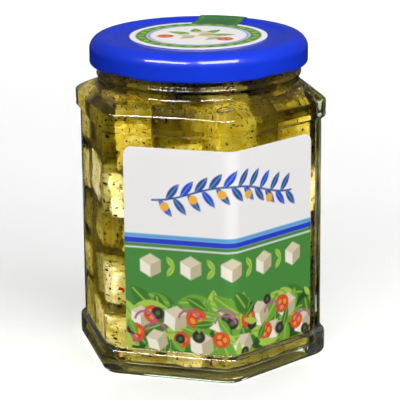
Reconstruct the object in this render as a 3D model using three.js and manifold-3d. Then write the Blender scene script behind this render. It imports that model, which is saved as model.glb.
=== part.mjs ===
// Shut hexagonal glass jar of feta cubes in oil: glass, twist-off lid, cheese and paper labels.
// Millimetres, +Z up, origin at the middle of the base. One labelled panel faces -Y.
import * as THREE from 'three';
import { mergeVertices } from 'three/addons/utils/BufferGeometryUtils.js';
import Module from 'manifold-3d';

const wasm = await Module();
wasm.setup();

// Jar body, where an apothem is half the distance between two opposite flats
const BAND_APOTHEM = 34.85;
const PANEL_APOTHEM = 33.5;
const CORNER_RADIUS = 6.5;
const WALL = 3.0;
const INNER_APOTHEM = PANEL_APOTHEM - WALL;
const LEAST_CORNER = 1.5;

// Heights of the jar body
const HEEL_RADIUS = 2.2;
const BASE_BAND_TOP = 6.8;
const PANEL_LOW = 8.8;
const PANEL_HIGH = 74.2;
const BAND_LOW = 76.0;
const BAND_TOP = 79.9;
const NECK_LOW = 85.1;
const SHOULDER_STEPS = 6;
const HEEL_STEPS = 4;
const BAND_EDGE_STEPS = 3;

// Base: a flat bearing ring round a shallow push-up
const BEARING_INNER = 27.0;
const PUSH_UP_APOTHEM = 25.0;
const PUSH_UP_RISE = 0.8;
const FLOOR_Z = 2.6;
const INNER_HEEL = 3.0;

// Neck: a bead below the lid and a plain finish inside it
const NECK_RADIUS = 30.3;
const BEAD_RADIUS = 31.0;
const BEAD_LOW = 86.0;
const BEAD_HIGH = 88.6;
const FINISH_LOW = 89.6;
const FINISH_RADIUS = 29.6;
const MOUTH_RADIUS = 27.4;
const RIM_Z = 97.2;
const RIM_EDGE = 0.8;

// Lid
const LID_RADIUS = 33.0;
const LID_SHEET = 0.8;
const LID_CREST_Z = 98.4;
const LID_CREST_RADIUS = 27.6;
const LID_PANEL_Z = 97.7;
const LID_PANEL_RADIUS = 25.4;
const LID_SHOULDER = 3.8;
const LID_LOW = 90.2;
const CURL_RADIUS = 0.8;
const ARC_DIVISIONS = 3;
const HIDDEN_ARC_DIVISIONS = 2;

// Paper labels
const PAPER = 0.2;
const PAPER_GAP = 0.1;
const LABEL_LOW = 8.9;
const LABEL_HIGH = 71.0;
const LABEL_PAST_MIDDLE = 13.6;
const LABEL_CORNER = 2.5;
const LABEL_CORNER_STEPS = 4;
const LID_LABEL_RADIUS = 20.8;
const STRIP_WIDTH = 14.5;
const STRIP_COLUMNS = 6;
const STRIP_END_Z = 76.8;

// Cheese cubes: two leaning stacks on each panel and a loose crown under the neck, round a core
const CUBE_SEED = 265;
const RANDOM_FACTOR = 16807;
const RANDOM_MODULUS = 2147483647;
const CUBE_EDGE = 13.0;
const CUBE_SPREAD = 1.6;
const FRAGMENT_SHARE = 0.14;
const FRAGMENT_SCALE = 0.66;
const STACK_OFFSET = 7.5;
const STACK_SHIFT = -3.4;
const STACK_JITTER = 1.5;
const STACK_TOP = 84.0;
const STACK_GAP = 1.8;
const STACK_NESTING = 1.0;
const LEAN = THREE.MathUtils.degToRad(13);
const CROWN_PIECES = 6;
const CROWN_RADIUS = 18.5;
const CROWN_Z = 81.5;
const CROWN_Z_JITTER = 1.0;
const CROWN_TURN_JITTER = 0.3;
const CROWN_LEAN = THREE.MathUtils.degToRad(24);
const CORE_APOTHEM = 20.0;
const CORE_LOW = 4.2;
const CORE_HIGH = 80.0;
const CUBE_CLEARANCE = 0.5;

// Sampling of one sixth of a ring
const SIDES = 6;
const SECTOR = (2 * Math.PI) / SIDES;
const ARC_STEPS = 4;
const FLAT_STEPS = 6;
const RING_POINTS = SIDES * (ARC_STEPS + FLAT_STEPS);
const LID_SEGMENTS = 72;

const GLASS = { color: 0xdfe6da, roughness: 0.05, metalness: 0, transparent: true, opacity: 0.35 };
const LACQUER = { color: 0x2338c8, roughness: 0.3, metalness: 0.2 };
const CHEESE = { color: 0xe8dc90, roughness: 0.6, metalness: 0 };
const LABEL_PAPER = { color: 0xeeecec, roughness: 0.45, metalness: 0 };
const SEAL_PAPER = { color: 0x4a8a3c, roughness: 0.45, metalness: 0 };

function polar(length, angle) {
  return new THREE.Vector2(length * Math.cos(angle), length * Math.sin(angle));
}

// Distance from the axis to the centre of a corner's arc
function cornerCentre(apothem, corner) {
  return (apothem - corner) / Math.cos(SECTOR / 2);
}

// An inner hexagon keeps the walls parallel, so its corners get sharper
function cornerFor(apothem) {
  return Math.min(apothem, Math.max(LEAST_CORNER, CORNER_RADIUS - (BAND_APOTHEM - apothem)));
}

// One ring of a rounded hexagon with a corner on +X, anticlockwise from above
function hexOutline(apothem) {
  const corner = cornerFor(apothem);
  const reach = cornerCentre(apothem, corner);
  const points = [];
  for (let side = 0; side < SIDES; side++) {
    const direction = side * SECTOR;
    const centre = polar(reach, direction);
    for (let i = 0; i <= ARC_STEPS; i++) {
      const turn = direction + (i / ARC_STEPS - 0.5) * SECTOR;
      points.push(polar(corner, turn).add(centre));
    }
    const start = points.at(-1);
    const end = polar(corner, direction + SECTOR / 2).add(polar(reach, direction + SECTOR));
    for (let i = 1; i < FLAT_STEPS; i++) {
      points.push(start.clone().lerp(end, i / FLAT_STEPS));
    }
  }
  return points;
}

// A station is one ring of the glass: hexagonal, round, or part of the way from one to the other
function hexStation(apothem, z) {
  return { apothem, z, radius: apothem, share: 0 };
}

function roundStation(radius, z, apothem) {
  return { apothem, z, radius, share: 1 };
}

function shoulderStations(apothem, radius, low, high) {
  const stations = [];
  for (let i = 0; i <= SHOULDER_STEPS; i++) {
    const t = i / SHOULDER_STEPS;
    const share = THREE.MathUtils.smoothstep(t, 0, 1);
    stations.push({ apothem, radius, share, z: THREE.MathUtils.lerp(low, high, t) });
  }
  return stations;
}

// A quarter arc of stations from a flat ring up to a wall
function heelStations(apothem, low, radius) {
  const stations = [];
  for (let i = 0; i <= HEEL_STEPS; i++) {
    const turn = ((i / HEEL_STEPS) * Math.PI) / 2;
    const inset = radius * (1 - Math.sin(turn));
    stations.push(hexStation(apothem - inset, low + radius * (1 - Math.cos(turn))));
  }
  return stations;
}

// Eases from one hexagon to another between two heights
function bandEdgeStations(from, to, low, high) {
  const stations = [];
  for (let i = 0; i <= BAND_EDGE_STEPS; i++) {
    const t = i / BAND_EDGE_STEPS;
    const apothem = THREE.MathUtils.lerp(from, to, THREE.MathUtils.smoothstep(t, 0, 1));
    stations.push(hexStation(apothem, THREE.MathUtils.lerp(low, high, t)));
  }
  return stations;
}

// Revolves the stations' heights, then pulls each ring to its own outline
function stationSolid(stations) {
  const profile = stations.map((s) => new THREE.Vector2(s.apothem, s.z));
  const geometry = new THREE.LatheGeometry(profile, RING_POINTS);
  const position = geometry.attributes.position;
  stations.forEach((station, row) => {
    const outline = hexOutline(station.apothem);
    for (let i = 0; i <= RING_POINTS; i++) {
      const point = outline[i % RING_POINTS].clone();
      if (station.share > 0) {
        point.lerp(point.clone().setLength(station.radius), station.share);
      }
      position.setXYZ(i * stations.length + row, point.x, point.y, station.z);
    }
  });
  return geometry;
}

// The space inside the glass from the floor up, drawn in by a clearance all round
function cavityStations(clearance) {
  const apothem = INNER_APOTHEM - clearance;
  const mouth = MOUTH_RADIUS - clearance;
  const drop = WALL / 2;
  return [
    hexStation(0, FLOOR_Z + clearance),
    ...heelStations(apothem, FLOOR_Z + clearance, INNER_HEEL),
    hexStation(apothem, PANEL_HIGH),
    ...shoulderStations(apothem, mouth, BAND_TOP - drop, NECK_LOW - drop / 2),
  ];
}

function jarGeometry() {
  const outside = [
    hexStation(0, PUSH_UP_RISE),
    hexStation(PUSH_UP_APOTHEM, PUSH_UP_RISE),
    hexStation(BEARING_INNER, 0),
    ...heelStations(BAND_APOTHEM, 0, HEEL_RADIUS),
    ...bandEdgeStations(BAND_APOTHEM, PANEL_APOTHEM, BASE_BAND_TOP, PANEL_LOW),
    ...bandEdgeStations(PANEL_APOTHEM, BAND_APOTHEM, PANEL_HIGH, BAND_LOW),
    ...shoulderStations(BAND_APOTHEM, NECK_RADIUS, BAND_TOP, NECK_LOW),
    roundStation(BEAD_RADIUS, BEAD_LOW, BAND_APOTHEM),
    roundStation(BEAD_RADIUS, BEAD_HIGH, BAND_APOTHEM),
    roundStation(FINISH_RADIUS, FINISH_LOW, BAND_APOTHEM),
    roundStation(FINISH_RADIUS, RIM_Z - RIM_EDGE, BAND_APOTHEM),
    roundStation(FINISH_RADIUS - RIM_EDGE, RIM_Z, BAND_APOTHEM),
  ];
  const inside = [
    ...cavityStations(0),
    roundStation(MOUTH_RADIUS, RIM_Z - RIM_EDGE, INNER_APOTHEM),
    roundStation(MOUTH_RADIUS + RIM_EDGE, RIM_Z, INNER_APOTHEM),
  ];
  return stationSolid([...outside, ...inside.reverse()]);
}

// The lid's outer line from the axis down to the curl, moved out by an offset
function lidOuterPath(offset) {
  const shoulderX = LID_RADIUS - LID_SHOULDER;
  const shoulderZ = LID_CREST_Z - LID_SHOULDER;
  const panelZ = LID_PANEL_Z + offset;
  const crestZ = LID_CREST_Z + offset;
  const middle = (LID_PANEL_RADIUS + LID_CREST_RADIUS) / 2;
  const path = new THREE.Path();
  path.moveTo(0, panelZ);
  path.lineTo(LID_PANEL_RADIUS, panelZ);
  path.bezierCurveTo(middle, panelZ, middle, crestZ, LID_CREST_RADIUS, crestZ);
  path.absarc(shoulderX, shoulderZ, LID_SHOULDER + offset, Math.PI / 2, 0, true);
  path.lineTo(LID_RADIUS + offset, LID_LOW + 2 * CURL_RADIUS);
  return path;
}

function lidGeometry() {
  const outer = lidOuterPath(0).getPoints(ARC_DIVISIONS);
  const curl = new THREE.Path();
  curl.absarc(LID_RADIUS - CURL_RADIUS, LID_LOW + CURL_RADIUS, CURL_RADIUS, 0, -Math.PI, true);
  const inner = lidOuterPath(-LID_SHEET).getPoints(HIDDEN_ARC_DIVISIONS).reverse();
  const profile = [...outer, ...curl.getPoints(HIDDEN_ARC_DIVISIONS), ...inner];
  return new THREE.LatheGeometry(profile.reverse(), LID_SEGMENTS).rotateX(Math.PI / 2);
}

// A thin sheet whose two faces are put in place column by column and row by row
function sheetGeometry(columns, rows, place) {
  const geometry = new THREE.BoxGeometry(columns, rows, 1, columns, rows, 1);
  const position = geometry.attributes.position;
  for (let i = 0; i < position.count; i++) {
    const column = Math.round(position.getX(i) + columns / 2);
    const row = Math.round(position.getY(i) + rows / 2);
    const offset = position.getZ(i) > 0 ? PAPER_GAP + PAPER : PAPER_GAP;
    const point = place(column, row, offset);
    position.setXYZ(i, point.x, point.y, point.z);
  }
  return geometry;
}

// A point on the panel, by its distance along the paper from the corner between the label's panels
function labelPoint(along, offset) {
  const corner = cornerFor(PANEL_APOTHEM);
  const direction = -SECTOR;
  const arc = (corner * SECTOR) / 2;
  const turn = direction + THREE.MathUtils.clamp(along, -arc, arc) / corner;
  const point = polar(cornerCentre(PANEL_APOTHEM, corner), direction).add(polar(corner + offset, turn));
  const straight = Math.max(0, Math.abs(along) - arc) * Math.sign(along);
  return point.add(polar(straight, turn + Math.PI / 2));
}

// Half the label's length along the paper
function labelReach() {
  const corner = cornerFor(PANEL_APOTHEM);
  const flat = cornerCentre(PANEL_APOTHEM, corner) / 2;
  return LABEL_PAST_MIDDLE + flat + (corner * SECTOR) / 2;
}

// Column places along half of the label: the bend, the flat and the rounded end
function labelColumns() {
  const reach = labelReach();
  const arc = (cornerFor(PANEL_APOTHEM) * SECTOR) / 2;
  const half = [];
  for (let i = 1; i <= ARC_STEPS / 2; i++) {
    half.push((arc * i) / (ARC_STEPS / 2));
  }
  for (let i = 0; i <= LABEL_CORNER_STEPS; i++) {
    const turn = ((i / LABEL_CORNER_STEPS) * Math.PI) / 2;
    half.push(reach - LABEL_CORNER * (1 - Math.sin(turn)));
  }
  return [...half.map((v) => -v).reverse(), 0, ...half];
}

function labelGeometry() {
  const columns = labelColumns();
  const reach = labelReach();
  return sheetGeometry(columns.length - 1, 1, (column, row, offset) => {
    const along = columns[column];
    const into = Math.max(0, Math.abs(along) - (reach - LABEL_CORNER));
    const trim = LABEL_CORNER - Math.sqrt(LABEL_CORNER ** 2 - into ** 2);
    const point = labelPoint(along, offset);
    return new THREE.Vector3(point.x, point.y, row ? LABEL_HIGH - trim : LABEL_LOW + trim);
  });
}

// The strip follows the lid's outer line over the rim, then hangs across to the shoulder band
function stripGeometry() {
  const first = LID_LABEL_RADIUS - LABEL_CORNER;
  const lines = [PAPER_GAP, PAPER_GAP + PAPER].map((offset) => {
    const path = lidOuterPath(offset).getPoints(ARC_DIVISIONS);
    path[0].x = first;
    return path;
  });
  const onLid = lines[0].length;
  const place = (column, row, offset) => {
    const x = (column / STRIP_COLUMNS - 0.5) * STRIP_WIDTH;
    const line = lines[offset > PAPER_GAP ? 1 : 0];
    if (row < onLid) {
      return new THREE.Vector3(x, Math.sqrt(line[row].x ** 2 - x ** 2), line[row].y);
    }
    const z = row === onLid ? BAND_TOP : STRIP_END_Z;
    return new THREE.Vector3(x, BAND_APOTHEM + offset, z);
  };
  return sheetGeometry(STRIP_COLUMNS, onLid + 1, place);
}

function solidOf(geometry) {
  const bare = geometry.clone();
  bare.deleteAttribute('normal');
  bare.deleteAttribute('uv');
  const merged = mergeVertices(bare);
  return new wasm.Manifold(
    new wasm.Mesh({
      numProp: 3,
      vertProperties: merged.attributes.position.array,
      triVerts: new Uint32Array(merged.index.array),
    }),
  );
}

function geometryOf(solid) {
  const mesh = solid.getMesh();
  const geometry = new THREE.BufferGeometry();
  geometry.setAttribute('position', new THREE.BufferAttribute(mesh.vertProperties, 3));
  geometry.setIndex(new THREE.BufferAttribute(mesh.triVerts, 1));
  geometry.computeVertexNormals();
  return geometry;
}

function lidLabelGeometry() {
  const disc = new THREE.CylinderGeometry(LID_LABEL_RADIUS, LID_LABEL_RADIUS, PAPER, LID_SEGMENTS);
  disc.rotateX(Math.PI / 2);
  disc.translate(0, 0, LID_PANEL_Z + PAPER_GAP + PAPER / 2);
  return geometryOf(solidOf(disc).add(solidOf(stripGeometry())));
}

// Repeatable numbers from 0 to 1
function seededRandom(seed) {
  let state = seed;
  return () => {
    state = (state * RANDOM_FACTOR) % RANDOM_MODULUS;
    return state / RANDOM_MODULUS;
  };
}

// A random amount either way
function either(random, most) {
  return most * (2 * random() - 1);
}

// A piece's three edges, where some pieces are smaller fragments
function pieceSize(random) {
  const scale = random() < FRAGMENT_SHARE ? FRAGMENT_SCALE : 1;
  const edge = () => scale * (CUBE_EDGE + either(random, CUBE_SPREAD));
  return new THREE.Vector3(edge(), edge(), edge());
}

// Half of a turned box's reach along one direction
function halfReach(size, matrix, direction) {
  const axes = [new THREE.Vector3(), new THREE.Vector3(), new THREE.Vector3()];
  matrix.extractBasis(...axes);
  const along = new THREE.Vector3(...axes.map((axis) => Math.abs(axis.dot(direction))));
  return along.dot(size) / 2;
}

function leaningMatrix(random, facing, lean) {
  const roll = either(random, lean);
  const pitch = either(random, lean);
  const yaw = facing + either(random, lean);
  return new THREE.Matrix4().makeRotationFromEuler(new THREE.Euler(roll, pitch, yaw, 'ZYX'));
}

// One stack of pieces against a panel, from the floor to the shoulder
function stackPieces(random, facing, column) {
  const outward = new THREE.Vector3(Math.cos(facing), Math.sin(facing), 0);
  const along = new THREE.Vector3(-outward.y, outward.x, 0);
  const up = new THREE.Vector3(0, 0, 1);
  const wall = INNER_APOTHEM - CUBE_CLEARANCE;
  const pieces = [];
  let z = FLOOR_Z + CUBE_CLEARANCE;
  for (;;) {
    const size = pieceSize(random);
    const matrix = leaningMatrix(random, facing, LEAN);
    const shift = STACK_OFFSET * column + STACK_SHIFT + either(random, STACK_JITTER);
    const gap = STACK_GAP * random() - STACK_NESTING;
    const half = halfReach(size, matrix, up);
    if (z + 2 * half > STACK_TOP) {
      return pieces;
    }
    const depth = wall - halfReach(size, matrix, outward);
    const centre = outward.clone().multiplyScalar(depth).addScaledVector(along, shift);
    centre.z = z + half;
    pieces.push({ size, matrix: matrix.setPosition(centre) });
    z += 2 * half + gap;
  }
}

// Loose pieces on top of the stacks, under the neck
function crownPieces(random) {
  const pieces = [];
  for (let i = 0; i <= CROWN_PIECES; i++) {
    const reach = i < CROWN_PIECES ? CROWN_RADIUS : 0;
    const bearing = (2 * Math.PI * (i + CROWN_TURN_JITTER * random())) / CROWN_PIECES;
    const size = pieceSize(random);
    const matrix = leaningMatrix(random, bearing, CROWN_LEAN);
    const centre = polar(reach, bearing);
    matrix.setPosition(centre.x, centre.y, CROWN_Z + either(random, CROWN_Z_JITTER));
    pieces.push({ size, matrix });
  }
  return pieces;
}

function cheesePieces() {
  const random = seededRandom(CUBE_SEED);
  const pieces = [];
  for (let side = 0; side < SIDES; side++) {
    for (const column of [-1, 1]) {
      pieces.push(...stackPieces(random, (side + 0.5) * SECTOR, column));
    }
  }
  return [...pieces, ...crownPieces(random)];
}

// The pieces fused to the core, kept clear of the glass, as one body with no sealed hollow
function heapGeometry() {
  const core = [
    hexStation(0, CORE_LOW),
    hexStation(CORE_APOTHEM, CORE_LOW),
    hexStation(CORE_APOTHEM, CORE_HIGH),
    hexStation(0, CORE_HIGH),
  ];
  const heap = cheesePieces().reduce((sum, { size, matrix }) => {
    const box = new THREE.BoxGeometry(size.x, size.y, size.z).applyMatrix4(matrix);
    return sum.add(solidOf(box));
  }, solidOf(stationSolid(core)));
  const cavity = cavityStations(CUBE_CLEARANCE);
  cavity.push(roundStation(MOUTH_RADIUS - CUBE_CLEARANCE, RIM_Z, INNER_APOTHEM));
  cavity.push(hexStation(0, RIM_Z));
  const bodies = heap.intersect(solidOf(stationSolid(cavity))).decompose();
  return geometryOf(bodies.reduce((a, b) => (b.volume() > a.volume() ? b : a)));
}

function part(name, geometry, finish) {
  const mesh = new THREE.Mesh(geometry, new THREE.MeshStandardMaterial(finish));
  mesh.name = name;
  return mesh;
}

const jar = new THREE.Group();
jar.add(
  part('glass_jar', jarGeometry(), GLASS),
  part('twist_lid', lidGeometry(), LACQUER),
  part('feta_heap', heapGeometry(), CHEESE),
  part('panel_label', labelGeometry(), LABEL_PAPER),
  part('lid_label', lidLabelGeometry(), SEAL_PAPER),
);

export default jar;
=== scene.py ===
"""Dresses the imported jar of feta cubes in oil: glass, oil, cheese, spices, lid and printed paper."""
import logging
import math
from collections.abc import Callable, Sequence
from dataclasses import dataclass, field
from enum import Enum
from typing import Any

import bpy
import numpy as np
from mathutils import Matrix, Vector, noise


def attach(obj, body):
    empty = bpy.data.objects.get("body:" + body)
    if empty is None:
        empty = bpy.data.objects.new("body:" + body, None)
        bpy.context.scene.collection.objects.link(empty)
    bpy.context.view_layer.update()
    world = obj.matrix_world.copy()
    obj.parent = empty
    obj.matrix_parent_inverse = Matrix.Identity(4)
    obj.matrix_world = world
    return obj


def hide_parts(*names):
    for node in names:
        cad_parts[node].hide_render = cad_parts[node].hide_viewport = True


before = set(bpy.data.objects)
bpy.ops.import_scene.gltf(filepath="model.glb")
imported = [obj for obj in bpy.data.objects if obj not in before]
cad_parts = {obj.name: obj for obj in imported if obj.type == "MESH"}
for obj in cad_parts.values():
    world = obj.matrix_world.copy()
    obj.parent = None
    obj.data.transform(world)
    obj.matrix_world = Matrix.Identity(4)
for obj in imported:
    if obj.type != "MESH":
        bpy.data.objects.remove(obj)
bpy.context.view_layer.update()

LOG = logging.getLogger("feta_jar")
BODY = "root"
MM = 0.001
SIDES = 6
SECTOR = 2 * math.pi / SIDES
PICTURE_PIXELS = 400
SHARP_ANGLE = math.radians(40)
TINY = 1e-6
# Oil and glass bend light alike, so a face between them hardly mirrors.
WETTED_MIRROR = 0.04

# Kinds of node that are used many times
ATTRIBUTE = "ShaderNodeAttribute"
BUMP = "ShaderNodeBump"
COORDINATES = "ShaderNodeTexCoord"
MAP_RANGE = "ShaderNodeMapRange"
MATH = "ShaderNodeMath"
MIX = "ShaderNodeMix"
NAMED = "GeometryNodeInputNamedAttribute"
NOISE = "ShaderNodeTexNoise"
OUTPUT = "ShaderNodeOutputMaterial"
PRINCIPLED = "ShaderNodeBsdfPrincipled"
STORE = "GeometryNodeStoreNamedAttribute"
VECTOR_MATH = "ShaderNodeVectorMath"
# What every clear body has in common
CLEAR = {"Base Color": (1, 1, 1, 1), "Roughness": 0.0, "Transmission Weight": 1.0}

Array = np.ndarray
Point = tuple[float, float]
Place = tuple[float, float, float]
Rgba = tuple[float, float, float, float]
Material = bpy.types.Material
Node = bpy.types.Node
Piece = bpy.types.Object
Socket = bpy.types.NodeSocket
Tree = bpy.types.NodeTree


def linear(code: str) -> Rgba:
    """Turns an sRGB hex colour into linear RGBA.

    Args:
        code: colour as #RRGGBB.

    Returns:
        The linear colour with full alpha.
    """
    channels = [int(code[i : i + 2], 16) / 255 for i in (1, 3, 5)]
    red, green, blue = (c / 12.92 if c <= 0.04045 else ((c + 0.055) / 1.055) ** 2.4 for c in channels)
    return (red, green, blue, 1.0)


def per_mm(size: float) -> float:
    """Gives the texture scale whose features are about `size` millimetres wide."""
    return 1 / (size * MM)


def smooth(t: Any) -> Any:
    """Eases a share from 0 to 1 with flat ends."""
    t = np.clip(t, 0.0, 1.0)
    return t * t * (3 - 2 * t)


def add_node(tree: Tree, kind: str, inputs: dict | None = None, **settings: Any) -> Node:
    """Adds one node to a tree.

    Args:
        tree: the node tree.
        kind: the node's type name.
        inputs: socket name or number to a value, or to an output socket to link from.
        settings: the node's own properties.

    Returns:
        The new node.
    """
    node = tree.nodes.new(kind)
    for name, value in settings.items():
        setattr(node, name, value)
    for key, value in (inputs or {}).items():
        if isinstance(value, Socket):
            tree.links.new(value, node.inputs[key])
        else:
            node.inputs[key].default_value = value
    return node


def node_group(name: str, inputs: dict[str, str], output: str) -> Tree:
    """Starts a geometry node tree with named inputs.

    Args:
        name: the tree's name.
        inputs: each input's name and its kind of socket.
        output: the name of the geometry that comes out.

    Returns:
        The tree, with no node in it.
    """
    tree = bpy.data.node_groups.new(name, "GeometryNodeTree")
    for label, kind in inputs.items():
        tree.interface.new_socket(label, in_out="INPUT", socket_type="NodeSocket" + kind)
    tree.interface.new_socket(output, in_out="OUTPUT", socket_type="NodeSocketGeometry")
    return tree


def blank_material(name: str) -> Material:
    """Makes a node material with nothing in it.

    Args:
        name: the material's name.

    Returns:
        The material.
    """
    material = bpy.data.materials.new(name)
    material.use_nodes = True
    material.node_tree.nodes.clear()
    return material


def linked(name: str, data: bpy.types.ID) -> Piece:
    """Makes an object and puts it in the scene.

    Args:
        name: the object's name.
        data: its mesh, lamp or camera.

    Returns:
        The object.
    """
    made = bpy.data.objects.new(name, data)
    bpy.context.scene.collection.objects.link(made)
    return made


def mesh_piece(name: str, points: Array, faces: list, material: Material) -> Piece:
    """Makes a smooth-shaded object from points in millimetres.

    Args:
        name: the piece's name.
        points: one row for each vertex, in millimetres.
        faces: vertex numbers of each face, anticlockwise from outside.
        material: the piece's finish.

    Returns:
        The linked object.
    """
    mesh = bpy.data.meshes.new(name)
    mesh.from_pydata((np.asarray(points) * MM).tolist(), [], faces)
    mesh.materials.append(material)
    mesh.shade_smooth()
    mesh.set_sharp_from_angle(angle=SHARP_ANGLE)
    return linked(name, mesh)


def store(mesh: bpy.types.Mesh, name: str, domain: str, values: Array) -> None:
    """Stores an attribute on a mesh: one number, or one row of three, for each point or face."""
    kind, key = ("FLOAT", "value") if values.ndim == 1 else ("FLOAT_VECTOR", "vector")
    mesh.attributes.new(name, kind, domain).data.foreach_set(key, values.astype(np.float32).ravel())


def grow(
    name: str, source: Piece, tree: Tree, inputs: dict[str, Any], keep: Callable[[Array], Array]
) -> Piece:
    """Runs geometry nodes on an object and keeps the result as a plain mesh.

    Args:
        name: the new piece's name.
        source: the object that the nodes start from, which is removed.
        tree: the node tree.
        inputs: the tree's input values by name.
        keep: moves the finished points, in millimetres, to where they may be.

    Returns:
        The new piece.
    """
    modifier = source.modifiers.new("grow", "NODES")
    modifier.node_group = tree
    sockets = {item.name: item.identifier for item in tree.interface.items_tree if item.in_out == "INPUT"}
    for key, value in inputs.items():
        modifier[sockets[key]] = value
    graph = bpy.context.evaluated_depsgraph_get()
    grown = source.evaluated_get(graph)
    mesh = bpy.data.meshes.new_from_object(grown, preserve_all_data_layers=True, depsgraph=graph)
    source.modifiers.remove(modifier)
    bpy.data.objects.remove(source)
    mesh.name = name
    places = np.empty(len(mesh.vertices) * 3, dtype=np.float32)
    mesh.vertices.foreach_get("co", places)
    kept = keep(places.reshape(-1, 3).astype(float) / MM) * MM
    mesh.vertices.foreach_set("co", kept.astype(np.float32).ravel())
    mesh.update()
    return linked(name, mesh)


def at_height(outline: Array, z: float) -> Array:
    """Lifts a flat outline to one height."""
    return np.column_stack([outline, np.full(len(outline), z)])


def loft(rings: Sequence[Array]) -> tuple[Array, list]:
    """Skins a row of rings, where a ring of one point is a pole.

    Args:
        rings: rings of points, anticlockwise from above, from the lowest outside.

    Returns:
        The points and the faces.
    """
    starts = np.cumsum([0] + [len(ring) for ring in rings]).tolist()
    faces: list = []
    for k, (low, high) in enumerate(zip(rings, rings[1:])):
        a, b = starts[k], starts[k + 1]
        count = max(len(low), len(high))
        for i in range(count):
            j = (i + 1) % count
            if len(low) == 1:
                faces.append((a, b + j, b + i))
            elif len(high) == 1:
                faces.append((a + i, a + j, b))
            else:
                faces.append((a + i, a + j, b + j, b + i))
    return np.concatenate(rings), faces


def lathe(profile: Sequence[Point], segments: int) -> list[Array]:
    """Turns a profile round the Z axis.

    Args:
        profile: radius and height of each ring, in millimetres.
        segments: points on each ring.

    Returns:
        The rings for a loft, where no radius gives a pole.
    """
    turns = np.linspace(0, 2 * math.pi, segments, endpoint=False)
    circle = np.column_stack([np.cos(turns), np.sin(turns)])
    return [at_height(radius * circle if radius > TINY else np.zeros((1, 2)), z) for radius, z in profile]


def arc(centre: Point, radius: float, start: float, end: float, steps: int) -> list[Point]:
    """Gives points on an arc, with angles in degrees and both ends in."""
    turns = np.radians(np.linspace(start, end, steps + 1))
    return [(centre[0] + radius * math.cos(t), centre[1] + radius * math.sin(t)) for t in turns]


def dress(piece: Piece, slot: str, *nodes: str) -> None:
    """Hands a finished piece to the frame and logs it.

    Args:
        piece: the finished piece.
        slot: the record's material slot.
        nodes: the CAD nodes that it stands for.
    """
    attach(piece, BODY)
    if nodes:
        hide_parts(*nodes)
    LOG.info("%s: %d faces in slot %s", piece.name, len(piece.data.polygons), slot)


@dataclass(frozen=True)
class Finish:
    """What every finish has: a material that is named for what it is."""

    name: str

    def shader(self, tree: Tree) -> Node:
        """Adds the nodes of this kind of finish and gives its shader."""
        raise NotImplementedError

    def show(self, tree: Tree, shader: Node) -> None:
        """Shows the shader as the whole surface."""
        add_node(tree, OUTPUT, {"Surface": shader.outputs["BSDF"]})

    def material(self) -> Material:
        """Builds the material.

        Returns:
            The material with all its nodes.
        """
        made = blank_material(self.name)
        self.show(made.node_tree, self.shader(made.node_tree))
        return made


@dataclass(frozen=True)
class ClearFinish(Finish):
    """A clear body: lamps shine through its surface, and its depth absorbs light."""

    ior: float
    tint: str
    tint_per_metre: float

    def show(self, tree: Tree, shader: Node) -> None:
        """Lets shadow rays through the surface and fills the body with tint.

        Args:
            tree: the material's nodes.
            shader: the transmissive shader.
        """
        path = add_node(tree, "ShaderNodeLightPath")
        through = add_node(tree, "ShaderNodeBsdfTransparent")
        surface = add_node(
            tree,
            "ShaderNodeMixShader",
            {0: path.outputs["Is Shadow Ray"], 1: shader.outputs["BSDF"], 2: through.outputs["BSDF"]},
        )
        depth = {"Color": linear(self.tint), "Density": self.tint_per_metre}
        volume = add_node(tree, "ShaderNodeVolumeAbsorption", depth)
        add_node(tree, OUTPUT, {"Surface": surface.outputs["Shader"], "Volume": volume.outputs["Volume"]})


@dataclass(frozen=True)
class FlintGlass(ClearFinish):
    """Soda-lime flint glass, pressed in a mould."""

    # To the eye: clear and glossy with slow ripples, and faintly green through its thick base.
    name: str = "flint_glass"
    ior: float = 1.51
    tint: str = "#B4C8A8"
    tint_per_metre: float = 22.0
    ripple_mm: float = 11.0
    ripple_height_mm: float = 0.05
    mirror_attribute: str = "mirror"

    def shader(self, tree: Tree) -> Node:
        """Adds the glass, which hardly mirrors where oil wets it.

        Args:
            tree: the material's nodes.

        Returns:
            The shader.
        """
        place = add_node(tree, COORDINATES).outputs["Object"]
        ripple = add_node(tree, NOISE, {"Vector": place, "Scale": per_mm(self.ripple_mm), "Detail": 1.0})
        height = {"Height": ripple.outputs["Fac"], "Distance": self.ripple_height_mm * MM, "Strength": 1.0}
        bump = add_node(tree, BUMP, height)
        mirror = add_node(tree, ATTRIBUTE, attribute_name=self.mirror_attribute)
        faces = {"Specular Tint": mirror.outputs["Color"], "Normal": bump.outputs["Normal"]}
        return add_node(tree, PRINCIPLED, {**CLEAR, "IOR": self.ior, **faces})


@dataclass(frozen=True)
class InfusedOil(ClearFinish):
    """Sunflower and olive oil, infused with herbs."""

    # To the eye: clear and deep gold, olive where it is thick.
    name: str = "infused_oil"
    ior: float = 1.49
    tint: str = "#CDC94B"
    tint_per_metre: float = 268.0

    def shader(self, tree: Tree) -> Node:
        """Adds the oil, whose faces all wet glass or cheese."""
        mirror = (WETTED_MIRROR, WETTED_MIRROR, WETTED_MIRROR, 1.0)
        return add_node(tree, PRINCIPLED, {**CLEAR, "IOR": self.ior, "Specular Tint": mirror})


@dataclass(frozen=True)
class TrappedAir(Finish):
    """Air caught in the oil as it was poured."""

    # To the eye: a clear pocket that bends light away and glints at its rim.
    name: str = "trapped_air"
    ior: float = 0.67

    def shader(self, tree: Tree) -> Node:
        """Adds the pocket as a clear body thinner than the oil round it."""
        return add_node(tree, PRINCIPLED, {**CLEAR, "IOR": self.ior})


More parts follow.
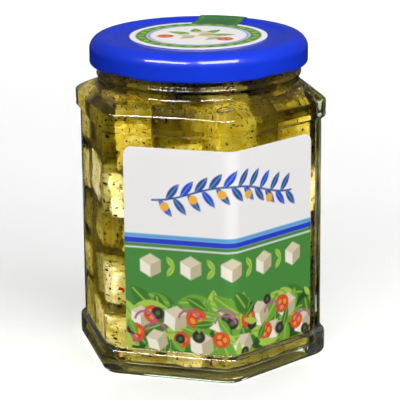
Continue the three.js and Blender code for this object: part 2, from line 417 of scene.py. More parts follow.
@dataclass(frozen=True)
class LidLacquer(Finish):
    """Blue lacquer, roller-coated on tinplate."""

    # To the eye: saturated and glossy, with a faint orange-peel skin.
    name: str = "blue_lacquer"
    blue: str = "#183EE0"
    deep_blue: str = "#1434CC"
    patch_mm: float = 16.0
    peel_mm: float = 1.6
    peel_height_mm: float = 0.006

    def shader(self, tree: Tree) -> Node:
        """Adds the lacquer with its clear gloss as a coat.

        Args:
            tree: the material's nodes.

        Returns:
            The shader.
        """
        place = add_node(tree, COORDINATES).outputs["Object"]
        patch = add_node(tree, NOISE, {"Vector": place, "Scale": per_mm(self.patch_mm), "Detail": 2.0})
        peel = add_node(tree, NOISE, {"Vector": place, "Scale": per_mm(self.peel_mm), "Detail": 1.0})
        tones = {0: patch.outputs["Fac"], 6: linear(self.deep_blue), 7: linear(self.blue)}
        colour = add_node(tree, MIX, tones, data_type="RGBA")
        height = {"Height": peel.outputs["Fac"], "Distance": self.peel_height_mm * MM, "Strength": 1.0}
        bump = add_node(tree, BUMP, height)
        return add_node(
            tree,
            PRINCIPLED,
            {
                "Base Color": colour.outputs[2],
                "Roughness": 0.3,
                "IOR": 1.5,
                "Specular IOR Level": 0.1,
                "Coat Weight": 0.5,
                "Coat Roughness": 0.06,
                "Normal": bump.outputs["Normal"],
            },
        )


@dataclass(frozen=True)
class FetaCurd(Finish):
    """Brined feta, cut in cubes and steeped in oil."""

    # To the eye: pale moist curd with pores and herb dust, yellow where oil soaks in, and more gold in its
    # pits, partly for oil that gathers there and partly as painted shade in the dents.
    # The herb dust is finer than a pixel, so its specks are drawn about twice as coarse.
    name: str = "feta_curd"
    cream: str = "#ECE3BC"
    soaked: str = "#D6BA50"
    dust: str = "#4E3E10"
    patch_mm: float = 3.2
    tint_weight: float = 0.3
    pit_soak_and_shade_weight: float = 0.25
    soaks: Point = (0.48, 0.95)
    pore_mm: float = 0.9
    pore_height_mm: float = 0.3
    dust_mm: float = 0.9
    dusted: Point = (0.62, 0.68)

    def shader(self, tree: Tree) -> Node:
        """Adds the curd from the pieces' own tint, patches, pores and specks, with its pits painted more
        soaked, partly for oil and partly as painted shade.

        Args:
            tree: the material's nodes.

        Returns:
            The shader.
        """
        place = add_node(tree, COORDINATES).outputs["Object"]
        patch, dust, pore = (
            add_node(tree, NOISE, {"Vector": place, "Scale": per_mm(size), "Detail": detail}).outputs["Fac"]
            for size, detail in ((self.patch_mm, 4.0), (self.dust_mm, 2.0), (self.pore_mm, 4.0))
        )
        wet = patch
        # Pits take more of the soaked tone: partly oil gathered in them, partly painted shade in the dents.
        for name, weight in (("tint", self.tint_weight), ("pit_soak_and_shade", self.pit_soak_and_shade_weight)):
            share = add_node(tree, ATTRIBUTE, attribute_name=name).outputs["Fac"]
            wet = add_node(tree, MATH, {0: share, 1: weight, 2: wet}, operation="MULTIPLY_ADD").outputs[0]
        colour: Any = linear(self.cream)
        for level, (low, high), tone in ((wet, self.soaks, self.soaked), (dust, self.dusted, self.dust)):
            share = add_node(tree, MAP_RANGE, {"Value": level, "From Min": low, "From Max": high})
            tones = {0: share.outputs["Result"], 6: colour, 7: linear(tone)}
            colour = add_node(tree, MIX, tones, data_type="RGBA").outputs[2]
        height = {"Height": pore, "Distance": self.pore_height_mm * MM, "Strength": 0.6}
        bump = add_node(tree, BUMP, height)
        return add_node(
            tree,
            PRINCIPLED,
            {
                "Base Color": colour,
                "Roughness": 0.55,
                "IOR": 1.45,
                "Specular IOR Level": 0.0,
                "Normal": bump.outputs["Normal"],
            },
        )


@dataclass(frozen=True)
class DriedSpice(Finish):
    """Dried leaf, pod or corn, rubbed or cracked."""

    # To the eye: matt and fibrous, blotched from dark to light.
    dark: str
    light: str
    blotch_mm: float = 0.8
    blotched: Point = (0.35, 0.65)

    def shader(self, tree: Tree) -> Node:
        """Adds the spice from two tones and a fine grain.

        Args:
            tree: the material's nodes.

        Returns:
            The shader.
        """
        place = add_node(tree, COORDINATES).outputs["Object"]
        blotch = add_node(tree, NOISE, {"Vector": place, "Scale": per_mm(self.blotch_mm), "Detail": 3.0})
        low, high = self.blotched
        share = add_node(tree, MAP_RANGE, {"Value": blotch.outputs["Fac"], "From Min": low, "From Max": high})
        tones = {0: share.outputs["Result"], 6: linear(self.dark), 7: linear(self.light)}
        colour = add_node(tree, MIX, tones, data_type="RGBA")
        matt = {"Base Color": colour.outputs[2], "Roughness": 0.6, "Specular IOR Level": 0.0}
        return add_node(tree, PRINCIPLED, matt)


@dataclass(frozen=True)
class PrintedPaper(Finish):
    """Coated label paper with offset print."""

    # To the eye: satin, with a trace of fibre under the ink.
    # Real fibre is far finer than a pixel, so it is drawn as coarse as it needs to show.
    name: str = "printed_paper"
    ink_attribute: str = "ink"
    fibre_mm: float = 0.7
    fibre_height_mm: float = 0.008
    gloss: Point = (0.38, 0.5)

    def shader(self, tree: Tree) -> Node:
        """Adds the paper, coloured by the ink laid on its own vertices.

        Args:
            tree: the material's nodes.

        Returns:
            The shader.
        """
        place = add_node(tree, COORDINATES).outputs["Object"]
        ink = add_node(tree, ATTRIBUTE, attribute_name=self.ink_attribute)
        fibre = add_node(tree, NOISE, {"Vector": place, "Scale": per_mm(self.fibre_mm), "Detail": 3.0})
        height = {"Height": fibre.outputs["Fac"], "Distance": self.fibre_height_mm * MM, "Strength": 1.0}
        bump = add_node(tree, BUMP, height)
        low, high = self.gloss
        gloss = add_node(tree, MAP_RANGE, {"Value": fibre.outputs["Fac"], "To Min": low, "To Max": high})
        return add_node(
            tree,
            PRINCIPLED,
            {
                "Base Color": ink.outputs["Color"],
                "Roughness": gloss.outputs["Result"],
                "IOR": 1.5,
                "Specular IOR Level": 0.35,
                "Normal": bump.outputs["Normal"],
            },
        )


@dataclass(frozen=True)
class Station:
    """One ring of the glass: hexagonal, round, or part of the way between, in millimetres."""

    apothem: float
    z: float
    radius: float = 0.0
    share: float = 0.0


@dataclass
class GlassJar:
    """The hexagonal jar and the oil in it, in millimetres."""

    band_apothem: float = 34.85
    panel_apothem: float = 33.5
    corner_radius: float = 6.5
    least_corner: float = 1.5
    wall: float = 3.0
    heel_radius: float = 2.2
    base_band_top: float = 6.8
    panel_low: float = 8.8
    panel_high: float = 74.2
    band_low: float = 76.0
    band_top: float = 79.9
    groove_depth: float = 0.12
    groove_width: float = 1.6
    neck_low: float = 85.1
    bearing_inner: float = 27.0
    push_up_apothem: float = 25.0
    push_up_rise: float = 0.8
    floor_z: float = 2.6
    inner_heel: float = 3.0
    neck_radius: float = 30.3
    bead_radius: float = 31.0
    bead_low: float = 86.0
    bead_high: float = 88.6
    finish_low: float = 90.6
    finish_radius: float = 29.6
    mouth_radius: float = 27.4
    rim_z: float = 97.2
    rim_edge: float = 0.8
    oil_level: float = 92.0
    oil_overlap: float = 0.06
    meniscus: float = 0.8
    meniscus_width: float = 2.4
    edge_ease: float = 1.7
    arc_steps: int = 12
    flat_steps: int = 16
    heel_steps: int = 14
    shoulder_steps: int = 22
    edge_steps: int = 10
    rim_steps: int = 6

    @property
    def inner_apothem(self) -> float:
        """Half the distance across the inside."""
        return self.panel_apothem - self.wall

    @property
    def shoulder_inner(self) -> Point:
        """Lowest and highest point of the shoulder's inside."""
        return self.band_top - self.wall / 2, self.neck_low - self.wall / 4

    def corner_for(self, apothem: float) -> float:
        """Gives a hexagon's corner radius, sharper further in, as parallel walls have it."""
        return min(apothem, max(self.least_corner, self.corner_radius - (self.band_apothem - apothem)))

    def hexagon(self, apothem: float) -> Array:
        """Gives one rounded hexagon with a corner on +X.

        Args:
            apothem: half the distance across its flats.

        Returns:
            Its points, anticlockwise from above.
        """
        corner = self.corner_for(apothem)
        reach = (apothem - corner) / math.cos(SECTOR / 2)
        points: list[Array] = []
        for side in range(SIDES):
            turns = side * SECTOR + np.linspace(-0.5, 0.5, self.arc_steps + 1) * SECTOR
            centre = reach * np.array([math.cos(side * SECTOR), math.sin(side * SECTOR)])
            bend = centre + corner * np.column_stack([np.cos(turns), np.sin(turns)])
            onward = (side + 1) * SECTOR
            ahead = reach * np.array([math.cos(onward), math.sin(onward)])
            end = ahead + corner * np.array([math.cos(turns[-1]), math.sin(turns[-1])])
            shares = np.linspace(0, 1, self.flat_steps + 1)[1:-1, None]
            points += [bend, bend[-1] + (end - bend[-1]) * shares]
        return np.concatenate(points)

    def ring(self, station: Station) -> Array:
        """Places one station's ring.

        Args:
            station: the ring's size, height and roundness.

        Returns:
            Its points, or one point where it has no size.
        """
        if station.apothem == 0:
            return np.array([[0.0, 0.0, station.z]])
        outline = self.hexagon(station.apothem)
        if station.share > 0:
            circle = outline * (station.radius / np.linalg.norm(outline, axis=1))[:, None]
            outline = outline + (circle - outline) * station.share
        return at_height(outline, station.z)

    def heel(self, apothem: float, low: float, radius: float) -> list[Station]:
        """Rounds a flat ring up into a wall.

        Args:
            apothem: the wall's apothem.
            low: the flat ring's height.
            radius: the radius of the rounding.

        Returns:
            The stations, from the flat ring up.
        """
        turns = np.linspace(0, math.pi / 2, self.heel_steps + 1)
        line = zip(apothem - radius * (1 - np.sin(turns)), low + radius * (1 - np.cos(turns)))
        return [Station(a, z) for a, z in line]

    def band_edge(self, start: float, end: float, low: float, high: float) -> list[Station]:
        """Eases from one hexagon to another, rounder at the wider one.

        Args:
            start: the lower apothem.
            end: the upper apothem.
            low: the lower height.
            high: the upper height.

        Returns:
            The stations, from below.
        """
        shares = np.linspace(0, 1, self.edge_steps + 1)
        narrows = start > end
        eased = smooth((shares if narrows else 1 - shares) ** self.edge_ease)
        eased = eased if narrows else 1 - eased
        return [Station(start + (end - start) * e, low + (high - low) * t) for e, t in zip(eased, shares)]

    def groove(self) -> list[Station]:
        """Sinks a line into the shoulder band, which leaves a rib below it.

        Returns:
            The stations, from below.
        """
        shares = np.linspace(0, 1, self.edge_steps + 1)[1:]
        line = zip(self.groove_depth * np.sin(math.pi * shares) ** 2, self.groove_width * shares)
        return [Station(self.band_apothem - depth, self.band_low + rise) for depth, rise in line]

    def shoulder(self, apothem: float, radius: float, low: float, high: float) -> list[Station]:
        """Turns a hexagon into a circle between two heights."""
        shares = np.linspace(0, 1, self.shoulder_steps + 1)
        return [Station(apothem, low + (high - low) * t, radius, float(smooth(t))) for t in shares]

    def round_ring(self, radius: float, z: float) -> Station:
        """Gives a station that is a plain circle."""
        return Station(self.band_apothem, z, radius, 1.0)

    def cavity(self, clearance: float) -> list[Station]:
        """Gives the inside from the floor to the neck.

        Args:
            clearance: how far it is drawn in from the glass.

        Returns:
            The stations, from below.
        """
        apothem = self.inner_apothem - clearance
        low = self.floor_z + clearance
        return [
            Station(0, low),
            Station(apothem / 2, low),
            *self.heel(apothem, low, self.inner_heel),
            Station(apothem, self.panel_high),
            *self.shoulder(apothem, self.mouth_radius - clearance, *self.shoulder_inner),
        ]

    def rim(self, radius: float, start: float, end: float) -> list[Station]:
        """Rounds the rim about a circle of its own, between two angles in degrees."""
        line = arc((radius, self.rim_z - self.rim_edge), self.rim_edge, start, end, self.rim_steps)
        return [self.round_ring(r, z) for r, z in line]

    def outside(self) -> list[Station]:
        """Gives the outer face from the middle of the base to the rim.

        Returns:
            The stations, from below.
        """
        turns = np.linspace(0, 2 * math.pi, 2 * self.edge_steps + 1)
        swell = (self.bead_radius - self.neck_radius) / 2 * (1 - np.cos(turns))
        bead = zip(self.neck_radius + swell, np.linspace(self.bead_low, self.bead_high, len(turns)))
        return [
            Station(0, self.push_up_rise),
            *self.band_edge(self.push_up_apothem, self.bearing_inner, self.push_up_rise, 0),
            *self.heel(self.band_apothem, 0, self.heel_radius),
            *self.band_edge(self.band_apothem, self.panel_apothem, self.base_band_top, self.panel_low),
            *self.band_edge(self.panel_apothem, self.band_apothem, self.panel_high, self.band_low),
            *self.groove(),
            *self.shoulder(self.band_apothem, self.neck_radius, self.band_top, self.neck_low),
            *(self.round_ring(r, z) for r, z in bead),
            self.round_ring(self.finish_radius, self.finish_low),
            *self.rim(self.finish_radius - self.rim_edge, 0, 90),
        ]

    def build(self, finish: FlintGlass) -> Piece:
        """Builds the glass as one closed wall, marked where the oil wets its inside.

        Args:
            finish: the glass.

        Returns:
            The jar.
        """
        in_air = [*self.outside(), *self.rim(self.mouth_radius + self.rim_edge, 90, 180)]
        in_oil = [self.round_ring(self.mouth_radius, self.oil_level + self.meniscus), *self.cavity(0)[::-1]]
        rings = [self.ring(s) for s in (*in_air, *in_oil)]
        piece = mesh_piece("jar_glass", *loft(rings), finish.material())
        # Each pair of rings makes the same number of faces, so the wetted ones are the last.
        wetted = np.arange(len(piece.data.polygons)) >= len(in_air) * len(rings[1])
        store(piece.data, finish.mirror_attribute, "FACE", np.where(wetted, WETTED_MIRROR, 1.0))
        return piece

    def build_oil(self, finish: InfusedOil) -> Piece:
        """Builds the oil, which reaches just into the wall and climbs it a little at the top.

        Args:
            finish: the oil.

        Returns:
            The body of oil.
        """
        shares = np.linspace(0, 1, self.edge_steps + 1)
        radii = self.mouth_radius + self.oil_overlap - self.meniscus_width * shares
        heights = self.oil_level + self.meniscus * (1 - shares) ** 2
        top = [self.round_ring(r, z) for r, z in zip(radii, heights)]
        stations = [*self.cavity(-self.oil_overlap), *top, Station(0, self.oil_level)]
        return mesh_piece("herb_oil", *loft([self.ring(s) for s in stations]), finish.material())

    def hex_reach(self, turns: Array, apothem: Array) -> Array:
        """Gives the inside hexagon's distance from the axis.

        Args:
            turns: the angles round the axis, in radians.
            apothem: the hexagon's apothem at each.

        Returns:
            The distance at each angle.
        """
        corner = self.corner_for(self.inner_apothem)
        off = np.abs((turns + SECTOR / 2) % SECTOR - SECTOR / 2)
        centre = (apothem - corner) / math.cos(SECTOR / 2)
        bend = np.arctan2(corner / 2, centre + corner * math.cos(SECTOR / 2))
        root = np.sqrt(np.maximum(corner**2 - (centre * np.sin(off)) ** 2, 0))
        return np.where(off < bend, centre * np.cos(off) + root, apothem / np.cos(SECTOR / 2 - off))

    def keep_inside(self, points: Array, clearance: float) -> Array:
        """Draws points in that would cross the glass.

        Args:
            points: one row for each point, in millimetres.
            clearance: the least distance to the wall.

        Returns:
            The points, all inside.
        """
        x, y, z = points.T
        z = np.maximum(z, self.floor_z + clearance)
        below = np.clip(self.floor_z + clearance + self.inner_heel - z, 0, self.inner_heel)
        inset = self.inner_heel - np.sqrt(self.inner_heel**2 - below**2)
        wall = self.hex_reach(np.arctan2(y, x), self.inner_apothem - clearance - inset)
        low, high = self.shoulder_inner
        wall += (self.mouth_radius - clearance - wall) * smooth((z - low) / (high - low))
        shrink = np.minimum(1, wall / np.maximum(np.hypot(x, y), TINY))
        return np.column_stack([x * shrink, y * shrink, z])


@dataclass
class TwistLid:
    """The twist-off lid, in millimetres."""

    radius: float = 33.0
    sheet: float = 0.8
    crest_z: float = 98.4
    crest_radius: float = 27.6
    panel_z: float = 97.7
    panel_radius: float = 25.4
    shoulder: float = 3.8
    low: float = 90.2
    curl: float = 0.8
    lugs: int = 4
    first_lug_degrees: float = -119.0
    lug_half_degrees: float = 13.0
    lug_rise: float = 0.4
    segments: int = 240
    arc_steps: int = 14

    def outer_line(self, offset: float) -> list[Point]:
        """Gives the outer line from the axis out and down to the curl.

        Args:
            offset: how far the line is moved out.

        Returns:
            Radius and height of each point.
        """
        shares = smooth(np.linspace(0, 1, self.arc_steps + 1))
        run = np.linspace(self.panel_radius, self.crest_radius, self.arc_steps + 1)
        rise = self.panel_z + (self.crest_z - self.panel_z) * shares + offset
        centre = (self.radius - self.shoulder, self.crest_z - self.shoulder)
        return [
            (0.0, self.panel_z + offset),
            (self.panel_radius / 2, self.panel_z + offset),
            *zip(run.tolist(), rise.tolist()),
            *arc(centre, self.shoulder + offset, 90, 0, self.arc_steps),
            (self.radius + offset, self.low + 2 * self.curl),
        ]

    def press_lugs(self, points: Array) -> Array:
        """Lifts the lower edge where the lugs are pressed into the curl.

        Args:
            points: the lid's points.

        Returns:
            The points with the lugs pressed in.
        """
        turns = np.degrees(np.arctan2(points[:, 1], points[:, 0])) - self.first_lug_degrees
        pitch = 360 / self.lugs
        off = np.abs((turns + pitch / 2) % pitch - pitch / 2)
        near = smooth((self.lug_half_degrees - off) / (self.lug_half_degrees / 2))
        low = smooth((self.low + 3 * self.curl - points[:, 2]) / (2 * self.curl))
        return points + np.outer(near * low * self.lug_rise, [0, 0, 1])

    def build(self, finish: LidLacquer) -> Piece:
        """Builds the sheet with its rolled lower edge.

        Args:
            finish: the lacquer.

        Returns:
            The lid.
        """
        curl = arc((self.radius - self.curl, self.low + self.curl), self.curl, 0, -180, self.arc_steps)
        line = [*self.outer_line(0), *curl, *reversed(self.outer_line(-self.sheet))]
        points, faces = loft(lathe(line[::-1], self.segments))
        return mesh_piece("lid_sheet", self.press_lugs(points), faces, finish.material())


@dataclass
class Draw:
    """The same repeatable numbers from 0 to 1 that place the solid's pieces."""

    state: int
    factor: int = 16807
    modulus: int = 2147483647

    def next(self) -> float:
        """Draws one number."""
        self.state = self.state * self.factor % self.modulus
        return self.state / self.modulus

    def either(self, most: float) -> float:
        """Draws an amount either way."""
        return most * (2 * self.next() - 1)


@dataclass
class CheesePiece:
    """One piece of cheese: its edges, its turn and the place of its middle."""

    size: Array
    turn: Place
    centre: Array = field(default_factory=lambda: np.zeros(3))

    def axes(self) -> Array:
        """Gives the piece's axes as the columns of a matrix."""
        roll, pitch, yaw = (Matrix.Rotation(turn, 3, axis) for turn, axis in zip(self.turn, "XYZ"))
        return np.array(yaw @ pitch @ roll)

    def half_reach(self, direction: Array) -> float:
        """Gives half of the piece's reach along one direction."""
        return float(np.abs(direction @ self.axes()) @ self.size / 2)


@dataclass
class FetaHeap:
    """The cheese: two leaning stacks on each panel and a loose crown, round a core, in millimetres."""

    jar: GlassJar
    seed: int = 265
    edge: float = 13.0
    spread: float = 1.6
    fragment_share: float = 0.14
    fragment_scale: float = 0.66
    stack_offset: float = 7.5
    stack_shift: float = -3.4
    stack_jitter: float = 1.5
    settle: float = 1.6
    stack_top: float = 84.0
    stack_gap: float = 1.8
    stack_nesting: float = 1.0
    lean: float = math.radians(13)
    crown_pieces: int = 6
    crown_radius: float = 18.5
    crown_z: float = 81.5
    crown_z_jitter: float = 1.0
    crown_turn_jitter: float = 0.3
    crown_lean: float = math.radians(24)
    bed_apothem: float = 24.5
    bed_settled: float = 25.8
    bed_settled_z: Point = (4.5, 9.0)
    bed_taper: float = 7.0
    bed_taper_z: float = 62.0
    bed_low: float = 2.9
    bed_high: float = 80.0
    bed_step: float = 0.9
    bed_rough: float = 1.7
    bed_grain: float = 3.4
    bed_increment: float = 1.0
    bed_lacunarity: float = 2.0
    bed_octaves: int = 3
    bed_tint: float = 0.6
    clearance: float = 0.5
    cuts: int = 16
    look_seed: int = 52002
    pressed_share: float = 0.55
    most_inset: float = 2.2
    most_press: float = 1.4
    press_spread: float = 0.5
    sunk_from: float = 72.5
    sunk: float = 3.2
    contact: float = 0.08
    edge_round: float = 0.05
    edge_zone: Point = (0.3, 0.5)
    crumble: float = 1.0
    crumble_mm: float = 2.4
    crumbles: Point = (0.38, 0.75)
    chip: float = 2.0
    chip_mm: float = 3.0
    chips: Point = (0.5, 0.75)

    def size(self, draw: Draw) -> Array:
        """Draws a piece's three edges, where some pieces are smaller fragments."""
        scale = self.fragment_scale if draw.next() < self.fragment_share else 1.0
        return np.array([scale * (self.edge + draw.either(self.spread)) for _ in range(3)])

    def turn(self, draw: Draw, facing: float, lean: float) -> Place:
        """Draws how a piece leans, about the way that it faces."""
        roll, pitch, yaw = (draw.either(lean) for _ in range(3))
        return roll, pitch, facing + yaw

    def stack(self, draw: Draw, facing: float, column: int) -> list[CheesePiece]:
        """Stacks pieces against one panel from the floor to the shoulder.

        Args:
            draw: the repeatable numbers.
            facing: the way that the panel faces, in radians.
            column: the side of the panel's middle, -1 or 1.

        Returns:
            The pieces, from below.
        """
        outward = np.array([math.cos(facing), math.sin(facing), 0])
        along = np.array([-outward[1], outward[0], 0])
        up = np.array([0, 0, 1.0])
        wall = self.jar.inner_apothem - self.clearance
        pieces: list[CheesePiece] = []
        z = self.jar.floor_z + self.clearance
        while True:
            piece = CheesePiece(self.size(draw), self.turn(draw, facing, self.lean))
            shift = self.stack_offset * column + self.stack_shift + draw.either(self.stack_jitter)
            gap = self.stack_gap * draw.next() - self.stack_nesting
            half = piece.half_reach(up)
            if z + 2 * half > self.stack_top:
                return pieces
            depth = wall - piece.half_reach(outward)
            # One column of each panel has slid on to the corner, beside its place in the solid.
            settled = shift + min(column, 0) * self.settle
            piece.centre = outward * depth + along * settled + up * (z + half)
            pieces.append(piece)
            z += 2 * half + gap

    def crown(self, draw: Draw) -> list[CheesePiece]:
        """Lays loose pieces on the stacks, under the neck.

        Args:
            draw: the repeatable numbers.

        Returns:
            The pieces, a ring of them and one in the middle.
        """
        pieces = []
        for i in range(self.crown_pieces + 1):
            reach = self.crown_radius if i < self.crown_pieces else 0.0
            bearing = 2 * math.pi * (i + self.crown_turn_jitter * draw.next()) / self.crown_pieces
            piece = CheesePiece(self.size(draw), self.turn(draw, bearing, self.crown_lean))
            z = self.crown_z + draw.either(self.crown_z_jitter)
            piece.centre = np.array([reach * math.cos(bearing), reach * math.sin(bearing), z])
            pieces.append(piece)
        return pieces

    def pieces(self) -> list[CheesePiece]:
        """Draws every piece in the solid's own order.

        Returns:
            The stacks, panel by panel, and the crown.
        """
        draw = Draw(self.seed)
        made: list[CheesePiece] = []
        for side in range(SIDES):
            for column in (-1, 1):
                made += self.stack(draw, (side + 0.5) * SECTOR, column)
        return made + self.crown(draw)

    def set_back(self, centre: Array, inset: float) -> Array:
        """Moves a piece towards the axis, behind more oil, or presses it on the glass."""
        reach = max(float(np.hypot(*centre[:2])), inset, TINY)
        return centre * np.array([1 - inset / reach, 1 - inset / reach, 1])

    def seeds(self) -> Piece:
        """Makes one vertex for each piece, which carries its size, turn and tint.

        Returns:
            The object that holds the vertices.
        """
        pieces = self.pieces()
        mesh = bpy.data.meshes.new("cheese_seeds")
        chance = np.random.default_rng(self.look_seed)
        tints = chance.random(len(pieces))
        pressed = chance.random(len(pieces)) < self.pressed_share
        depths = chance.random(len(pieces))
        presses = self.most_press * (1 - self.press_spread * depths)
        insets = np.where(pressed, -presses, self.most_inset * depths)
        insets = np.where([p.centre[2] > self.sunk_from for p in pieces], self.sunk, insets)
        centres = [self.set_back(piece.centre, inset) for piece, inset in zip(pieces, insets)]
        mesh.from_pydata((np.array(centres) * MM).tolist(), [], [])
        store(mesh, "turn", "POINT", np.array([p.turn for p in pieces]))
        store(mesh, "size", "POINT", np.array([p.size * MM for p in pieces]))
        store(mesh, "tint", "POINT", tints)
        return linked("cheese_seeds", mesh)

    def tree(self) -> Tree:
        """Builds the nodes that put a crumbly cube on each vertex.

        Returns:
            The tree.
        """
        sizes = ("Edge round", "Crumble", "Crumble scale", "Chip", "Chip scale")
        floats = dict.fromkeys(sizes, "Float")
        inputs = {"Seeds": "Geometry", "Cuts": "Int", **floats, "Material": "Material"}
        tree = node_group("crumbly_cubes", inputs, "Cheese")
        given = add_node(tree, "NodeGroupInput").outputs
        cuts = {"Vertices " + axis: given["Cuts"] for axis in "XYZ"}
        cube = add_node(tree, "GeometryNodeMeshCube", cuts)
        rounded = self.rounded_cube(tree, cube.outputs["Mesh"], given["Edge round"])
        turn = add_node(tree, NAMED, {"Name": "turn"}, data_type="FLOAT_VECTOR")
        size = add_node(tree, NAMED, {"Name": "size"}, data_type="FLOAT_VECTOR")
        spin = add_node(tree, "FunctionNodeEulerToRotation", {0: turn.outputs[0]})
        laid = {"Rotation": spin.outputs[0], "Scale": size.outputs[0]}
        cubes = {"Points": given["Seeds"], "Instance": rounded, **laid}
        placed = add_node(tree, "GeometryNodeInstanceOnPoints", cubes)
        real = add_node(tree, "GeometryNodeRealizeInstances", {0: placed.outputs[0]})
        offset, depth = self.wear(tree, given)
        # The crumble depth is stored for the curd, which paints the pits more soaked: partly oil in them,
        # partly painted shade.
        pit_soak_and_shade_store = {0: real.outputs[0], "Name": "pit_soak_and_shade", "Value": depth}
        marked = add_node(tree, STORE, pit_soak_and_shade_store, data_type="FLOAT")
        worn = add_node(tree, "GeometryNodeSetPosition", {0: marked.outputs[0], "Offset": offset})
        soft = add_node(tree, "GeometryNodeSetShadeSmooth", {0: worn.outputs[0]})
        dressed = {0: soft.outputs[0], "Material": given["Material"]}
        done = add_node(tree, "GeometryNodeSetMaterial", dressed)
        add_node(tree, "NodeGroupOutput", {0: done.outputs[0]})
        return tree

    def rounded_cube(self, tree: Tree, cube: Socket, radius: Socket) -> Socket:
        """Rounds a unit cube's edges and stores how near each point is to one.

        Args:
            tree: the node tree.
            cube: the cut cube.
            radius: the edge radius as a share of the cube.

        Returns:
            The rounded cube.
        """
        place = add_node(tree, "GeometryNodeInputPosition").outputs[0]
        half = add_node(tree, MATH, {0: 0.5, 1: radius}, operation="SUBTRACT").outputs[0]
        low = add_node(tree, MATH, {0: half, 1: -1.0}, operation="MULTIPLY").outputs[0]
        under = add_node(tree, VECTOR_MATH, {0: place, 1: half}, operation="MINIMUM").outputs[0]
        inner = add_node(tree, VECTOR_MATH, {0: under, 1: low}, operation="MAXIMUM").outputs[0]
        out = add_node(tree, VECTOR_MATH, {0: place, 1: inner}, operation="SUBTRACT").outputs[0]
        way = add_node(tree, VECTOR_MATH, {0: out}, operation="NORMALIZE").outputs[0]
        skin = add_node(tree, VECTOR_MATH, {0: way, "Scale": radius}, operation="SCALE").outputs[0]
        spot = add_node(tree, VECTOR_MATH, {0: inner, 1: skin}, operation="ADD").outputs[0]
        # The middle one of a point's three coordinates is largest along the edges.
        sizes = add_node(tree, VECTOR_MATH, {0: place}, operation="ABSOLUTE").outputs[0]
        x, y, z = add_node(tree, "ShaderNodeSeparateXYZ", {0: sizes}).outputs
        most = add_node(tree, MATH, {0: x, 1: y}, operation="MAXIMUM").outputs[0]
        least = add_node(tree, MATH, {0: x, 1: y}, operation="MINIMUM").outputs[0]
        other = add_node(tree, MATH, {0: most, 1: z}, operation="MINIMUM").outputs[0]
        middle = add_node(tree, MATH, {0: least, 1: other}, operation="MAXIMUM").outputs[0]
        start, end = self.edge_zone
        near = add_node(tree, MAP_RANGE, {0: middle, 1: start, 2: end}).outputs[0]
        marked = add_node(tree, STORE, {0: cube, "Name": "edge", "Value": near}, data_type="FLOAT")
        moved = {0: marked.outputs[0], "Position": spot}
        return add_node(tree, "GeometryNodeSetPosition", moved).outputs[0]

    def wear(self, tree: Tree, given: Any) -> tuple[Socket, Socket]:
        """Works out how far each point crumbles inwards.

        Args:
            tree: the node tree.
            given: the group's inputs.

        Returns:
            The offset of each point, and its depth as a share of the crumble, which the curd paints as soaked
            colour in the pits, partly oil and partly painted shade.
        """
        rough = add_node(tree, NOISE, {"Scale": given["Crumble scale"], "Detail": 2.0}).outputs[0]
        broken = add_node(tree, NOISE, {"Scale": given["Chip scale"], "Detail": 1.0}).outputs[0]
        edge = add_node(tree, NAMED, {"Name": "edge"}, data_type="FLOAT").outputs[0]
        start, end = self.chips
        bite = add_node(tree, MAP_RANGE, {0: broken, 1: start, 2: end}).outputs[0]
        chips = add_node(tree, MATH, {0: bite, 1: edge}, operation="MULTIPLY").outputs[0]
        depth = add_node(tree, MATH, {0: chips, 1: given["Chip"]}, operation="MULTIPLY").outputs[0]
        start, end = self.crumbles
        dents = add_node(tree, MAP_RANGE, {0: rough, 1: start, 2: end}).outputs[0]
        both = {0: dents, 1: given["Crumble"], 2: depth}
        total = add_node(tree, MATH, both, operation="MULTIPLY_ADD").outputs[0]
        inward = add_node(tree, MATH, {0: total, 1: -1.0}, operation="MULTIPLY").outputs[0]
        normal = add_node(tree, "GeometryNodeInputNormal").outputs[0]
        offset = add_node(tree, VECTOR_MATH, {0: normal, "Scale": inward}, operation="SCALE").outputs[0]
        share = add_node(tree, MATH, {0: total, 1: given["Crumble"]}, operation="DIVIDE").outputs[0]
        return offset, share

    def build(self, finish: FetaCurd) -> Piece:
        """Builds the cubes and keeps them clear of the glass.

        Args:
            finish: the curd.

        Returns:
            All the cubes as one piece.
        """
        inputs = {
            "Cuts": self.cuts,
            "Edge round": self.edge_round,
            "Crumble": self.crumble * MM,
            "Crumble scale": per_mm(self.crumble_mm),
            "Chip": self.chip * MM,
            "Chip scale": per_mm(self.chip_mm),
            "Material": finish.material(),
        }
        return grow("feta_cubes", self.seeds(), self.tree(), inputs, self.keep)

    def build_bed(self, finish: FetaCurd) -> Piece:
        """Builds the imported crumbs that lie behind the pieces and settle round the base.

        Args:
            finish: the curd.

        Returns:
            The bed of crumbs.
        """
        low, high = self.bed_settled_z
        heights = np.arange(self.bed_low, self.bed_high, self.bed_step)
        settled = smooth((high - heights) / (high - low))
        tapered = smooth((heights - self.bed_taper_z) / (self.bed_high - self.bed_taper_z))
        widths = self.bed_apothem + (self.bed_settled - self.bed_apothem) * settled
        widths -= self.bed_taper * tapered
        rings = [self.jar.ring(Station(w, z)) for w, z in zip(widths, heights)]
        points, faces = loft([np.array([[0, 0, self.bed_low]]), *rings, np.array([[0, 0, heights[-1]]])])
        grain = (self.bed_increment, self.bed_lacunarity, self.bed_octaves)
        swell = [noise.fractal(Vector(p) / self.bed_grain, *grain) for p in points]
        points[:, :2] *= 1 + np.outer(swell, [1, 1]) * self.bed_rough / self.bed_apothem
        bed = mesh_piece("crumb_bed", self.keep(points), faces, finish.material())
        store(bed.data, "tint", "POINT", np.full(len(points), self.bed_tint))
        return bed

    def keep(self, points: Array) -> Array:
        """Flattens what presses on the glass."""
        return self.jar.keep_inside(points, self.contact)


@dataclass(frozen=True)
class SpiceMix:
    """One kind of grain: its finish, its number on a square centimetre, and its size in millimetres."""

    finish: Finish
    per_cm2: float
    length: Point
    width_share: float
    thickness_share: float
    sides: int
    seed: int
    round: bool = False


